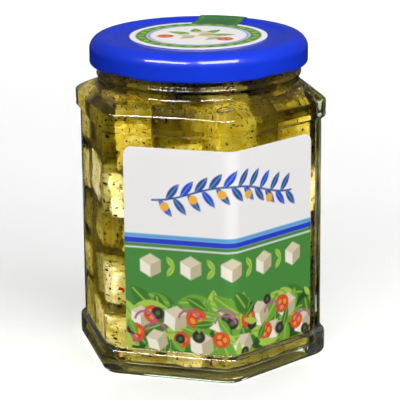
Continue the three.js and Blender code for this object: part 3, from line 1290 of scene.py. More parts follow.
class Spice(Enum):
    """The kinds of grain in the jar."""

    HERB = SpiceMix(DriedSpice("dried_herb", "#241E08", "#5E5418"), 5.0, (0.3, 1.5), 0.45, 0.12, 7, 11)
    PEPPER = SpiceMix(DriedSpice("cracked_pepper", "#120D06", "#3A2E1A"), 2.2, (0.35, 0.85), 0.9, 0.7, 6, 23)
    CHILLI = SpiceMix(DriedSpice("chilli_flake", "#8A1A08", "#C8401C"), 0.7, (0.6, 2.8), 0.6, 0.14, 7, 37)
    CRUMB = SpiceMix(FetaCurd("feta_crumb"), 1.4, (0.8, 2.2), 0.8, 0.7, 8, 53, True)
    FLOATING = SpiceMix(DriedSpice("floating_herb", "#2A2208", "#6A5A1C"), 1.3, (0.3, 1.1), 0.5, 0.2, 6, 61)
    FROTH = SpiceMix(TrappedAir("air_froth"), 110.0, (0.2, 0.7), 1.0, 1.0, 8, 41, True)


@dataclass
class SpiceScatter:
    """Grains scattered on the cheese where it faces the glass, and on the glass, in millimetres."""

    jar: GlassJar
    core_radius: float = 18.0
    least_facing: float = 0.15
    tilt: float = 0.25
    grain_rings: int = 5
    grain_segments: int = 8
    curl_mm: float = 1.1
    curl_reach: float = 0.72
    clearance: float = 0.03
    float_depth: float = 0.3

    def tree(self, mix: SpiceMix) -> Tree:
        """Builds the nodes that scatter one kind of grain.

        Args:
            mix: the kind of grain.

        Returns:
            The tree.
        """
        sizes = ("Density", "Shortest", "Longest", "Core radius", "Curl scale", "Curl reach")
        floats = dict.fromkeys(sizes, "Float")
        inputs = {"Cheese": "Geometry", **floats, "Seed": "Int", "Material": "Material"}
        tree = node_group("scatter_" + mix.finish.name, inputs, "Flakes")
        given = add_node(tree, "NodeGroupInput").outputs
        number = {"Density": given["Density"], "Seed": given["Seed"]}
        spots = add_node(
            tree,
            "GeometryNodeDistributePointsOnFaces",
            {0: given["Cheese"], "Selection": self.facing_glass(tree, given["Core radius"]), **number},
            distribute_method="RANDOM",
        )
        tilt, spun = self.tilt, math.pi
        twist = add_node(
            tree,
            "FunctionNodeRandomValue",
            {0: (-tilt, -tilt, -spun), 1: (tilt, tilt, spun), "Seed": given["Seed"]},
            data_type="FLOAT_VECTOR",
        )
        spin = add_node(tree, "FunctionNodeEulerToRotation", {0: twist.outputs[0]})
        turns = {0: spots.outputs["Rotation"], 1: spin.outputs[0]}
        lay = add_node(tree, "FunctionNodeRotateRotation", turns, rotation_space="LOCAL")
        lengths = {2: given["Shortest"], 3: given["Longest"], "Seed": given["Seed"]}
        length = add_node(tree, "FunctionNodeRandomValue", lengths, data_type="FLOAT")
        laid = {"Rotation": lay.outputs[0], "Scale": length.outputs[1]}
        grains = {"Points": spots.outputs["Points"], "Instance": self.grain(tree, mix), **laid}
        placed = add_node(tree, "GeometryNodeInstanceOnPoints", grains)
        real = add_node(tree, "GeometryNodeRealizeInstances", {0: placed.outputs[0]})
        wave = add_node(tree, NOISE, {"Scale": given["Curl scale"], "Detail": 1.0}).outputs["Color"]
        centred = add_node(tree, VECTOR_MATH, {0: wave, 1: (0.5, 0.5, 0.5)}, operation="SUBTRACT")
        reach = {0: centred.outputs[0], "Scale": given["Curl reach"]}
        shift = add_node(tree, VECTOR_MATH, reach, operation="SCALE")
        curled = add_node(tree, "GeometryNodeSetPosition", {0: real.outputs[0], "Offset": shift.outputs[0]})
        dressed = {0: curled.outputs[0], "Material": given["Material"]}
        done = add_node(tree, "GeometryNodeSetMaterial", dressed)
        add_node(tree, "NodeGroupOutput", {0: done.outputs[0]})
        return tree

    def grain(self, tree: Tree, mix: SpiceMix) -> Socket:
        """Makes one grain of unit length, a flat flake or a round bead.

        Args:
            tree: the node tree.
            mix: the kind of grain.

        Returns:
            The grain.
        """
        if mix.round:
            bead = {"Segments": self.grain_segments, "Rings": self.grain_rings, "Radius": 0.5}
            plain = add_node(tree, "GeometryNodeMeshUVSphere", bead)
        else:
            plate = {"Vertices": mix.sides, "Radius": 0.5, "Depth": mix.thickness_share}
            plain = add_node(tree, "GeometryNodeMeshCylinder", plate)
        narrowed = {0: plain.outputs["Mesh"], "Scale": (1, mix.width_share, 1)}
        return add_node(tree, "GeometryNodeTransform", narrowed).outputs[0]

    def facing_glass(self, tree: Tree, core: Socket) -> Socket:
        """Selects faces that lie outside the core and look outwards.

        Args:
            tree: the node tree.
            core: the core's radius.

        Returns:
            The selection.
        """
        place = add_node(tree, "GeometryNodeInputPosition").outputs[0]
        flat = add_node(tree, VECTOR_MATH, {0: place, 1: (1, 1, 0)}, operation="MULTIPLY").outputs[0]
        reach = add_node(tree, VECTOR_MATH, {0: flat}, operation="LENGTH").outputs["Value"]
        outward = add_node(tree, VECTOR_MATH, {0: flat}, operation="NORMALIZE").outputs[0]
        normal = add_node(tree, "GeometryNodeInputNormal").outputs[0]
        both = {0: outward, 1: normal}
        faced = add_node(tree, VECTOR_MATH, both, operation="DOT_PRODUCT").outputs["Value"]
        far, out = (
            add_node(tree, MATH, {0: value, 1: least}, operation="GREATER_THAN").outputs[0]
            for value, least in ((reach, core), (faced, self.least_facing))
        )
        return add_node(tree, MATH, {0: far, 1: out}, operation="MULTIPLY").outputs[0]

    def build(self, surface: Piece, mix: SpiceMix) -> Piece:
        """Scatters one kind of grain on a copy of a surface.

        Args:
            surface: the piece that the grains lie on.
            mix: the kind of grain.

        Returns:
            The grains.
        """
        bed = linked("spice_bed", surface.data.copy())
        square_cm = (10 * MM) ** 2
        inputs = {
            "Density": mix.per_cm2 / square_cm,
            "Shortest": mix.length[0] * MM,
            "Longest": mix.length[1] * MM,
            "Core radius": self.core_radius * MM,
            "Curl scale": per_mm(self.curl_mm),
            "Curl reach": self.curl_reach * MM,
            "Seed": mix.seed,
            "Material": mix.finish.material(),
        }
        return grow(mix.finish.name, bed, self.tree(mix), inputs, self.keep)

    def build_on_glass(self, mix: SpiceMix, depth: float, low: float, high: float) -> Piece:
        """Scatters one kind of grain on the inside of the glass.

        Args:
            mix: the kind of grain.
            depth: the distance from the glass, in millimetres.
            low: the lowest height.
            high: the highest height.

        Returns:
            The scattered grains.
        """
        stations = [s for s in self.jar.cavity(depth) if low < s.z < high]
        bed = mesh_piece("glass_bed", *loft([self.jar.ring(s) for s in stations]), mix.finish.material())
        grains = self.build(bed, mix)
        bpy.data.objects.remove(bed)
        return grains

    def build_floating(self) -> Piece:
        """Scatters the herbs that float in the oil, close behind the glass."""
        low, high = self.jar.floor_z, self.jar.neck_low
        return self.build_on_glass(Spice.FLOATING.value, self.float_depth, low, high)

    def keep(self, points: Array) -> Array:
        """Keeps the grains in the oil."""
        return self.jar.keep_inside(points, self.clearance)


@dataclass
class AirPockets:
    """Froth under the shoulder and one large bubble in its front corner, in millimetres."""

    jar: GlassJar
    low: float = 79.4
    high: float = 86.6
    depth: float = 0.45
    bubble_place: Place = (31.0, -60.0, 80.3)
    bubble_half: Place = (1.3, 2.5, 1.1)
    segments: int = 48
    rings: int = 24

    def build_froth(self, scatter: SpiceScatter) -> Piece:
        """Scatters the froth."""
        return scatter.build_on_glass(Spice.FROTH.value, self.depth, self.low, self.high)

    def build_bubble(self, finish: TrappedAir) -> Piece:
        """Builds the large bubble, pressed on the glass.

        Args:
            finish: the air.

        Returns:
            The bubble.
        """
        profile = arc((0.0, 0.0), 1.0, -90, 90, self.rings)
        points, faces = loft(lathe([(0.0, -1.0), *profile[1:-1], (0.0, 1.0)], self.segments))
        reach, degrees, z = self.bubble_place
        way = math.radians(degrees)
        outward, along = np.array([math.cos(way), math.sin(way)]), np.array([-math.sin(way), math.cos(way)])
        local = points * np.array(self.bubble_half)
        flat = np.outer(local[:, 0] + reach, outward) + np.outer(local[:, 1], along)
        placed = self.jar.keep_inside(np.column_stack([flat, local[:, 2] + z]), self.depth / 4)
        return mesh_piece("air_bubble", placed, faces, finish.material())


class Ink(Enum):
    """The printing inks."""

    PAPER = "#F3F1F0"
    SKY = "#5FA8DC"
    BLUE = "#2440C8"
    NAVY = "#2C4A94"
    GOLD = "#F2B43C"
    GREEN = "#4A8C3E"
    SEAL = "#3C7440"
    DARK_GREEN = "#2C5420"
    LEAF = "#6FA637"
    LIME = "#A8CC52"
    MOSS = "#3F7A2A"
    TOMATO = "#D63B22"
    FLESH = "#EE7A4A"
    CREAM = "#F6F0DE"
    SHADE = "#DDD2B4"
    GREY_CREAM = "#C4B795"
    OLIVE = "#3A2A30"
    ONION = "#B4618C"


class PrintCanvas:
    """Ink laid in order on the vertices of a flat sheet, in millimetres."""

    def __init__(self, across: Array, up: Array, step: float) -> None:
        """Starts with bare paper.

        Args:
            across: each vertex's place along the sheet.
            up: each vertex's height on the sheet.
            step: the distance between vertices, over which an edge fades.
        """
        self.across = across
        self.up = up
        self.step = step
        self.ink = np.tile(np.array(linear(Ink.PAPER.value)), (len(across), 1))

    def lay(self, distance: Array, ink: Ink, strength: float = 1.0) -> None:
        """Inks the points whose distance to a shape's edge is negative."""
        share = np.clip(0.5 - distance / self.step, 0, 1)[:, None] * strength
        self.ink += (np.array(linear(ink.value)) - self.ink) * share

    def local(self, centre: Point, turn: float = 0.0) -> tuple[Array, Array]:
        """Gives coordinates about a centre, turned by an angle in radians."""
        x, y = self.across - centre[0], self.up - centre[1]
        return x * math.cos(turn) + y * math.sin(turn), y * math.cos(turn) - x * math.sin(turn)

    def disc(self, centre: Point, radius: float) -> Array:
        """Gives the distance to a disc."""
        return np.hypot(*self.local(centre)) - radius

    def ring(self, centre: Point, radius: float, width: float) -> Array:
        """Gives the distance to a ring."""
        return np.abs(np.hypot(*self.local(centre)) - radius) - width / 2

    def leaf(self, centre: Point, length: float, width: float, turn: float) -> Array:
        """Gives the distance to a pointed leaf.

        Args:
            centre: the leaf's middle.
            length: its length.
            width: its width.
            turn: the way that it points, in radians.

        Returns:
            The distance at each vertex, negative inside.
        """
        u, v = self.local(centre, turn)
        share = np.clip(1 - (2 * u / length) ** 2, -3, 1)
        return np.abs(v) - width / 2 * share

    def stroke(self, start: Point, end: Point, width: float) -> Array:
        """Gives the distance to a line with round ends.

        Args:
            start: one end.
            end: the other end.
            width: the line's width.

        Returns:
            The distance at each vertex, negative inside.
        """
        a, b = np.array(start), np.array(end)
        x, y = self.across - a[0], self.up - a[1]
        share = np.clip((x * (b - a)[0] + y * (b - a)[1]) / ((b - a) @ (b - a)), 0, 1)
        return np.hypot(x - share * (b - a)[0], y - share * (b - a)[1]) - width / 2

    def band(self, low: float, high: float) -> Array:
        """Gives the distance to a level band."""
        return np.maximum(low - self.up, self.up - high)

    def polygon(self, corners: Sequence[Point]) -> Array:
        """Gives the distance to a convex polygon.

        Args:
            corners: the corners, anticlockwise.

        Returns:
            The distance at each vertex, negative inside.
        """
        found = np.full(len(self.across), -np.inf)
        for (ax, ay), (bx, by) in zip(corners, [*corners[1:], corners[0]]):
            length = math.hypot(bx - ax, by - ay)
            side = ((self.across - ax) * (by - ay) - (self.up - ay) * (bx - ax)) / length
            found = np.maximum(found, side)
        return found

    def print_leaf(
        self, centre: Point, length: float, turn: float, ink: Ink, rib: Ink, slim: float = 0.42
    ) -> None:
        """Prints a leaf with a midrib.

        Args:
            centre: the leaf's middle.
            length: its length.
            turn: the way that it points, in radians.
            ink: its ink.
            rib: the midrib's ink.
            slim: its width as a share of its length.
        """
        rib_half, rib_width, rib_strength = 0.4 * length, 0.05 * length, 0.8
        self.lay(self.leaf(centre, length, slim * length, turn), ink)
        along = np.array([math.cos(turn), math.sin(turn)]) * rib_half
        middle = np.array(centre)
        self.lay(self.stroke(tuple(middle - along), tuple(middle + along), rib_width), rib, rib_strength)

    def print_cube(self, centre: Point, edge: float, turn: float) -> None:
        """Prints a cheese cube seen from a corner, in three tones.

        Args:
            centre: the corner that points forward.
            edge: the edge length.
            turn: its turn, in radians.
        """
        ways = [turn + k * SECTOR for k in range(SIDES)]
        spokes = [np.array([math.cos(way), math.sin(way)]) * edge for way in ways]
        middle = np.array(centre)
        for first, ink in ((0, Ink.SHADE), (2, Ink.CREAM), (4, Ink.GREY_CREAM)):
            rim = [middle + spokes[(first + k) % SIDES] for k in range(3)]
            self.lay(self.polygon([tuple(middle), *(tuple(p) for p in rim)]), ink)

    def print_tomato(self, centre: Point, radius: float, turn: float) -> None:
        """Prints a tomato slice with its seed pockets.

        Args:
            centre: the slice's middle.
            radius: its radius.
            turn: its turn, in radians.
        """
        wall, wall_width, strength = 0.8 * radius, 0.1 * radius, 0.7
        pockets, reach, length, width = 3, 0.42 * radius, 0.75 * radius, 0.5 * radius
        self.lay(self.disc(centre, radius), Ink.TOMATO)
        self.lay(self.ring(centre, wall, wall_width), Ink.FLESH, strength)
        for k in range(pockets):
            way = turn + 2 * math.pi * k / pockets
            pocket = (centre[0] + reach * math.cos(way), centre[1] + reach * math.sin(way))
            self.lay(self.leaf(pocket, length, width, way + math.pi / 2), Ink.GOLD, strength)

    def print_olive(self, centre: Point, radius: float, hole: float = 0.36) -> None:
        """Prints an olive ring, with its hole as a share of it."""
        self.lay(self.disc(centre, radius), Ink.OLIVE)
        self.lay(self.disc(centre, hole * radius), Ink.MOSS)

    def put_on(self, piece: Piece, attribute: str) -> None:
        """Stores the ink on a piece's vertices, in the canvas's own order, with paper on the rest.

        Args:
            piece: the piece that is printed.
            attribute: the name that its finish reads.
        """
        count = len(piece.data.vertices)
        inks = np.tile(np.array(linear(Ink.PAPER.value)), (count, 1))
        inks[: len(self.ink)] = self.ink
        layer = piece.data.color_attributes.new(attribute, "FLOAT_COLOR", "POINT")
        layer.data.foreach_set("color", inks.astype(np.float32).ravel())


def sheet_faces(columns: int, rows: int) -> tuple[list, list[int]]:
    """Gives the faces of a grid of points and its outer edge.

    Args:
        columns: points across.
        rows: points up.

    Returns:
        The faces, and the numbers of the edge's points, anticlockwise.
    """
    faces = []
    for j in range(rows - 1):
        for i in range(columns - 1):
            a = j * columns + i
            faces.append((a, a + 1, a + columns + 1, a + columns))
    bottom = list(range(columns))
    right = [j * columns + columns - 1 for j in range(1, rows)]
    top = [(rows - 1) * columns + i for i in range(columns - 2, -1, -1)]
    left = [j * columns for j in range(rows - 2, 0, -1)]
    return faces, bottom + right + top + left


@dataclass(frozen=True)
class Motif:
    """A printed motif that repeats: how many there are, and their least and most size in millimetres."""

    count: int
    sizes: Point

    def size(self, chance: np.random.Generator) -> float:
        """Draws the size of one."""
        return chance.uniform(*self.sizes)


@dataclass
class PanelLabel:
    """The paper label round one corner of the jar, in millimetres."""

    jar: GlassJar
    paper: float = 0.2
    gap: float = 0.1
    low: float = 8.9
    high: float = 71.0
    past_middle: float = 13.6
    corner: float = 2.5
    step: float = 0.25
    direction: float = -SECTOR
    frieze_top: float = 26.5
    green_top: float = 42.0
    stripe: float = 1.7
    sky_stripe: float = 1.19
    bleed: float = 1.0
    dark_margin: float = 3.5
    fruit_margin: float = 3.0
    leaf_margin: float = 1.5
    under_leaves: Motif = Motif(110, (6.0, 11.0))
    cubes: Motif = Motif(10, (3.2, 4.2))
    tomatoes: Motif = Motif(9, (2.4, 3.2))
    olives: Motif = Motif(12, (1.5, 2.0))
    onions: Motif = Motif(8, (3.2, 3.2))
    upper_leaves: Motif = Motif(16, (4.0, 7.0))
    seed: int = 63

    @property
    def bend(self) -> float:
        """The panel's own corner radius."""
        return self.jar.corner_for(self.jar.panel_apothem)

    @property
    def half_arc(self) -> float:
        """Half the length of paper in the bend."""
        return self.bend * SECTOR / 2

    @property
    def corner_reach(self) -> float:
        """The distance from the axis to the middle of the bend."""
        return (self.jar.panel_apothem - self.bend) / math.cos(SECTOR / 2)

    @property
    def reach(self) -> float:
        """Half the label's length along the paper."""
        return self.past_middle + self.corner_reach / 2 + self.half_arc

    @property
    def stripes_top(self) -> float:
        """The height at which the stripes end and the white field starts."""
        return self.green_top + self.stripe + self.sky_stripe

    def place(self, along: Array, offset: float) -> Array:
        """Bends distances along the paper round the jar's corner.

        Args:
            along: distances from the label's middle.
            offset: how far the face stands off the glass.

        Returns:
            The place of each in plan.
        """
        bent = np.clip(along, -self.half_arc, self.half_arc)
        turn, straight = self.direction + bent / self.bend, along - bent
        radius, centre = self.bend + offset, self.corner_reach
        x = centre * math.cos(self.direction) + radius * np.cos(turn) - straight * np.sin(turn)
        y = centre * math.sin(self.direction) + radius * np.sin(turn) + straight * np.cos(turn)
        return np.column_stack([x, y])

    def build(self, finish: PrintedPaper) -> Piece:
        """Builds the paper with its edges and prints it.

        Args:
            finish: the paper.

        Returns:
            The label.
        """
        columns = int(2 * self.reach / self.step) + 1
        rows = int((self.high - self.low) / self.step) + 1
        along = np.tile(np.linspace(-self.reach, self.reach, columns), rows)
        share = np.repeat(np.linspace(0, 1, rows), columns)
        into = np.maximum(0, np.abs(along) - (self.reach - self.corner))
        trim = self.corner - np.sqrt(np.maximum(self.corner**2 - into**2, 0))
        up = self.low + trim + (self.high - self.low - 2 * trim) * share
        front = np.column_stack([self.place(along, self.gap + self.paper), up])
        faces, rim = sheet_faces(columns, rows)
        back = np.column_stack([self.place(along[rim], self.gap), up[rim]])
        first = len(front)
        for k in range(len(rim)):
            n = (k + 1) % len(rim)
            faces.append((rim[n], rim[k], first + k, first + n))
        self.close_back(faces, first, columns, rows)
        piece = mesh_piece("label_paper", np.concatenate([front, back]), faces, finish.material())
        canvas = PrintCanvas(along, up, self.step)
        self.print_on(canvas)
        canvas.put_on(piece, finish.ink_attribute)
        return piece

    def close_back(self, faces: list, first: int, columns: int, rows: int) -> None:
        """Closes the glued side with tall strips, whose two end strips take the side edges.

        Args:
            faces: the faces so far, which grow.
            first: the number of the first edge point on the glued side.
            columns: points across.
            rows: points up.
        """
        top = columns + rows - 1
        for i in range(columns - 1):
            low, next_low = first + i, first + i + 1
            high, next_high = first + top + columns - 2 - i, first + top + columns - 3 - i
            if i == columns - 2:
                side = [first + columns - 1 + j for j in range(rows)]
                faces.append((low, high, *reversed(side)))
            elif i == 0:
                side = [first + top + columns - 1 + j for j in range(rows - 2)]
                faces.append((low, *reversed(side), high, next_high, next_low))
            else:
                faces.append((low, high, next_high, next_low))

    def print_on(self, canvas: PrintCanvas) -> None:
        """Prints the fields, the sprig, the row of cubes and the salad border.

        Args:
            canvas: the label's canvas.
        """
        blue_top = self.green_top + self.stripe
        canvas.lay(canvas.band(self.low - self.bleed, self.green_top), Ink.GREEN)
        canvas.lay(canvas.band(self.green_top, blue_top), Ink.BLUE)
        canvas.lay(canvas.band(blue_top, self.stripes_top), Ink.SKY)
        self.print_sprig(canvas)
        self.print_row(canvas)
        self.print_salad(canvas, np.random.default_rng(self.seed))

    def print_sprig(self, canvas: PrintCanvas) -> None:
        """Prints a fruiting olive sprig in the white field.

        Args:
            canvas: the label's canvas.
        """
        half, sag, pairs, stem = 24.0, 2.6, 11, 0.55
        tilt, stalk, leaf, slim = math.radians(52), 2.9, 6.6, 0.34
        fruit_radius, fruit_across, fruit_drop = 1.35, -0.6, 2.2
        middle = (self.high + self.stripes_top) / 2
        shares = np.linspace(-1, 1, 2 * pairs + 1)
        spots = [(half * t, middle + sag * math.cos(math.pi * t)) for t in shares]
        for start, end in zip(spots, spots[1:]):
            canvas.lay(canvas.stroke(start, end, stem), Ink.NAVY)
        for k, (x, y) in enumerate(spots[1:-1]):
            lean = tilt if k % 2 else -tilt
            centre = (x + stalk * math.cos(lean), y + stalk * math.sin(lean))
            canvas.print_leaf(centre, leaf, lean, Ink.NAVY if k % 3 else Ink.BLUE, Ink.SKY, slim)
            if k % 4 == 1:
                fruit = (x + fruit_across, y - fruit_drop)
                canvas.lay(canvas.disc(fruit, fruit_radius), Ink.GOLD)

    def print_row(self, canvas: PrintCanvas) -> None:
        """Prints a row of cheese cubes between leaves on the green field.

        Args:
            canvas: the label's canvas.
        """
        count, pitch, edge, rise = 5, 12.4, 3.7, 1.0
        tilt, spread, leaf = 0.6, 2.4, 4.2
        line_low, line_high, line_strength = self.green_top - 1.6, self.green_top - 1.1, 0.85
        middle = (self.green_top + self.frieze_top) / 2 + rise
        canvas.lay(canvas.band(line_low, line_high), Ink.PAPER, line_strength)
        for k in range(count):
            x = (k - (count - 1) / 2) * pitch
            canvas.print_cube((x, middle), edge, math.pi / 6)
        for k in range(count - 1):
            x = (k - (count - 2) / 2) * pitch
            for lean in (-tilt, tilt):
                centre = (x, middle + spread * math.sin(lean))
                canvas.print_leaf(centre, leaf, math.pi / 2 + lean, Ink.LIME, Ink.GREEN)

    def print_salad(self, canvas: PrintCanvas, chance: np.random.Generator) -> None:
        """Prints a border of salad leaves, cheese, tomato, olive and onion.

        Args:
            canvas: the label's canvas.
            chance: the border's own random numbers.
        """
        jitter_across, jitter_up, onion_width, onion_cut = 1.5, 1.0, 0.7, 0.5
        low_row, high_row, lower_slices, upper_slices = 3.5, 10.5, 4.5, 11.0
        cube_start, slice_start, slim, upper_slim = 0.5, 0.2, 0.45, 0.4
        low, high = self.low, self.frieze_top
        canvas.lay(canvas.band(low - self.bleed, high - self.dark_margin), Ink.DARK_GREEN)
        greens = [Ink.LEAF, Ink.MOSS, Ink.LIME, Ink.LEAF, Ink.MOSS]
        upper_greens = greens[:3]

        def spot(margin: float) -> Point:
            """Draws a place in the border, below a margin."""
            return chance.uniform(-self.reach, self.reach), chance.uniform(low, high - margin)

        def in_row(share: float, rise: float) -> Point:
            """Draws a place near a share of the border's length and a height."""
            x = share * 2 * self.reach - self.reach + chance.uniform(-jitter_across, jitter_across)
            return x, low + rise + chance.uniform(-jitter_up, jitter_up)

        def turn(most: float = math.pi) -> float:
            """Draws a turn, in radians."""
            return chance.uniform(0, most)

        for k in range(self.under_leaves.count):
            ink = greens[k % len(greens)]
            rib = Ink.LIME if ink is not Ink.LIME else Ink.LEAF
            place = spot(self.leaf_margin)
            canvas.print_leaf(place, self.under_leaves.size(chance), turn(), ink, rib, slim)
        for k in range(self.cubes.count):
            place = in_row((k + cube_start) / self.cubes.count, low_row if k % 2 else high_row)
            canvas.print_cube(place, self.cubes.size(chance), turn(SECTOR))
        for k in range(self.tomatoes.count):
            place = in_row((k + slice_start) / self.tomatoes.count, upper_slices if k % 2 else lower_slices)
            canvas.print_tomato(place, self.tomatoes.size(chance), turn())
        for _ in range(self.olives.count):
            canvas.print_olive(spot(self.fruit_margin), self.olives.size(chance))
        for _ in range(self.onions.count):
            x, y = spot(self.fruit_margin)
            whole = canvas.ring((x, y), self.onions.sizes[0], onion_width)
            canvas.lay(np.maximum(whole, y + onion_cut - canvas.up), Ink.ONION)
        for k in range(self.upper_leaves.count):
            place, ink = spot(self.fruit_margin), upper_greens[k % len(upper_greens)]
            canvas.print_leaf(place, self.upper_leaves.size(chance), turn(), ink, Ink.LIME, upper_slim)


@dataclass
class LidSeal:
    """The round lid label and the seal strip over the rim, in millimetres."""

    jar: GlassJar
    lid: TwistLid
    paper: float = 0.2
    gap: float = 0.1
    radius: float = 20.8
    strip_width: float = 14.5
    strip_start: float = 18.3
    strip_end_z: float = 76.8
    strip_lift: float = 0.04
    lift_run: float = 2.0
    lid_rows: int = 80
    step: float = 0.3
    ring_radius: float = 17.3
    ring_width: float = 3.4
    ring_leaves: int = 26

    def disc(self) -> tuple[Array, list]:
        """Builds the disc.

        Returns:
            Its points and its faces.
        """
        count = int(self.radius / self.step)
        segments = int(2 * math.pi * self.radius / self.step / 2)
        top = self.lid.panel_z + self.gap + self.paper
        line = [(self.radius * k / count, top) for k in range(count, -1, -1)]
        under = [(0.0, top - self.paper), (self.radius, top - self.paper)]
        return loft(lathe([*under, *line], segments))

    def strip_line(self, offset: float) -> Array:
        """Gives the strip's path over the lid.

        Args:
            offset: how far the path is moved out from the lid.

        Returns:
            Radius and height of each point, evenly spaced.
        """
        line = np.array(self.lid.outer_line(offset))
        line[0, 0] = self.strip_start
        line = np.delete(line, 1, axis=0)
        lengths = np.concatenate([[0], np.cumsum(np.hypot(*np.diff(line, axis=0).T))])
        even = np.linspace(0, lengths[-1], self.lid_rows)
        return np.column_stack([np.interp(even, lengths, line[:, k]) for k in (0, 1)])

    def lift(self, radius: float) -> float:
        """Gives the strip's rise where it lies on the disc."""
        return self.strip_lift * (1 - float(smooth((radius - self.radius) / self.lift_run)))

    def strip_face(self, offset: float, columns: int) -> Array:
        """Gives one face of the strip.

        Args:
            offset: how far the face stands off the lid and the jar.
            columns: points across.

        Returns:
            Rows of points, from the lid's middle outwards and down.
        """
        x = np.linspace(-self.strip_width / 2, self.strip_width / 2, columns)
        rows = [
            np.column_stack([x, np.sqrt(r**2 - x**2), np.full(columns, z + self.lift(r))])
            for r, z in self.strip_line(offset)
        ]
        leave = rows[-1]
        flat = self.jar.band_apothem + offset
        reach = leave[0, 2] - self.strip_end_z
        for t in np.linspace(0, 1, int(reach / self.step) + 1)[1:]:
            z = leave[0, 2] - reach * t
            share = smooth((leave[0, 2] - z) / (leave[0, 2] - self.jar.band_top))
            y = leave[:, 1] + (flat - leave[:, 1]) * share
            rows.append(np.column_stack([x, y, np.full(columns, z)]))
        return np.array(rows)

    def strip(self) -> tuple[Array, list]:
        """Builds the strip.

        Returns:
            Its points, outer face first, and its faces.
        """
        columns = int(self.strip_width / self.step) + 1
        outer = self.strip_face(self.gap + self.paper, columns)
        inner = self.strip_face(self.gap, columns)
        rows = len(outer)
        front, rim = sheet_faces(columns, rows)
        count = columns * rows
        faces = [tuple(reversed(f)) for f in front]
        faces += [tuple(n + count for n in f) for f in front]
        for k in range(len(rim)):
            n = rim[(k + 1) % len(rim)]
            faces.append((rim[k], n, n + count, rim[k] + count))
        return np.concatenate([outer.reshape(-1, 3), inner.reshape(-1, 3)]), faces

    def build(self, finish: PrintedPaper) -> Piece:
        """Builds disc and strip as one printed piece.

        Args:
            finish: the paper.

        Returns:
            The lid label with its strip.
        """
        disc, disc_faces = self.disc()
        strip, strip_faces = self.strip()
        shifted = [tuple(n + len(disc) for n in f) for f in strip_faces]
        points = np.concatenate([disc, strip])
        piece = mesh_piece("lid_paper", points, disc_faces + shifted, finish.material())
        canvas = PrintCanvas(points[:, 0], points[:, 1], 2 * self.step)
        self.print_on(canvas)
        self.print_strip(canvas, np.arange(len(points)) >= len(disc))
        canvas.put_on(piece, finish.ink_attribute)
        return piece

    def print_on(self, canvas: PrintCanvas) -> None:
        """Prints a leafy green ring on the disc, with cubes, leaves and tomato in it.

        Args:
            canvas: the piece's canvas.
        """
        line_radius, line_width = self.ring_radius - 0.7 * self.ring_width, 0.5
        tilt, leaf, slim = 0.45, 3.6, 0.45
        canvas.lay(canvas.ring((0, 0), self.ring_radius, self.ring_width), Ink.GREEN)
        canvas.lay(canvas.ring((0, 0), line_radius, line_width), Ink.BLUE)
        for k in range(self.ring_leaves):
            way = 2 * math.pi * k / self.ring_leaves
            centre = (self.ring_radius * math.cos(way), self.ring_radius * math.sin(way))
            lean = tilt if k % 2 else -tilt
            canvas.print_leaf(centre, leaf, way + math.pi / 2 + lean, Ink.LIME, Ink.MOSS, slim)
        across, up, rise, long_leaf, long_slim = 6.4, 5.4, 0.6, 9.5, 0.36
        for turn in (0.3, math.pi - 0.3, 1.2, math.pi - 1.2):
            centre = (across * math.cos(turn), up * math.sin(turn) + rise)
            canvas.print_leaf(centre, long_leaf, turn, Ink.LEAF, Ink.LIME, long_slim)
        edge, slice_radius = 4.0, 2.5
        for centre in ((-3.9, -2.6), (3.9, -2.6), (0.0, 2.6)):
            canvas.print_cube(centre, edge, math.pi / 6)
        for centre, turn in (((9.3, -3.6), 0.4), ((-9.3, -3.6), 1.4)):
            canvas.print_tomato(centre, slice_radius, turn)

    def print_strip(self, canvas: PrintCanvas, on_strip: Array) -> None:
        """Inks the strip, with a lighter line inside each long edge.

        Args:
            canvas: the piece's canvas.
            on_strip: which vertices are the strip's.
        """
        margin, line_half, line_strength = 1.2, 0.25, 0.5
        inside = np.where(on_strip, -1.0, 1.0) * canvas.step
        canvas.lay(inside, Ink.SEAL)
        lines = np.abs(np.abs(canvas.across) - (self.strip_width / 2 - margin)) - line_half
        canvas.lay(np.maximum(inside, lines), Ink.LEAF, line_strength)


@dataclass(frozen=True)
class Softbox:
    """One softbox: where it hangs in degrees, its size in millimetres, its watts, and what it serves."""

    name: str
    azimuth: float
    elevation: float
    width: float
    height: float
    power: float
    fill: bool = True
    gloss: bool = True
    through: bool = True


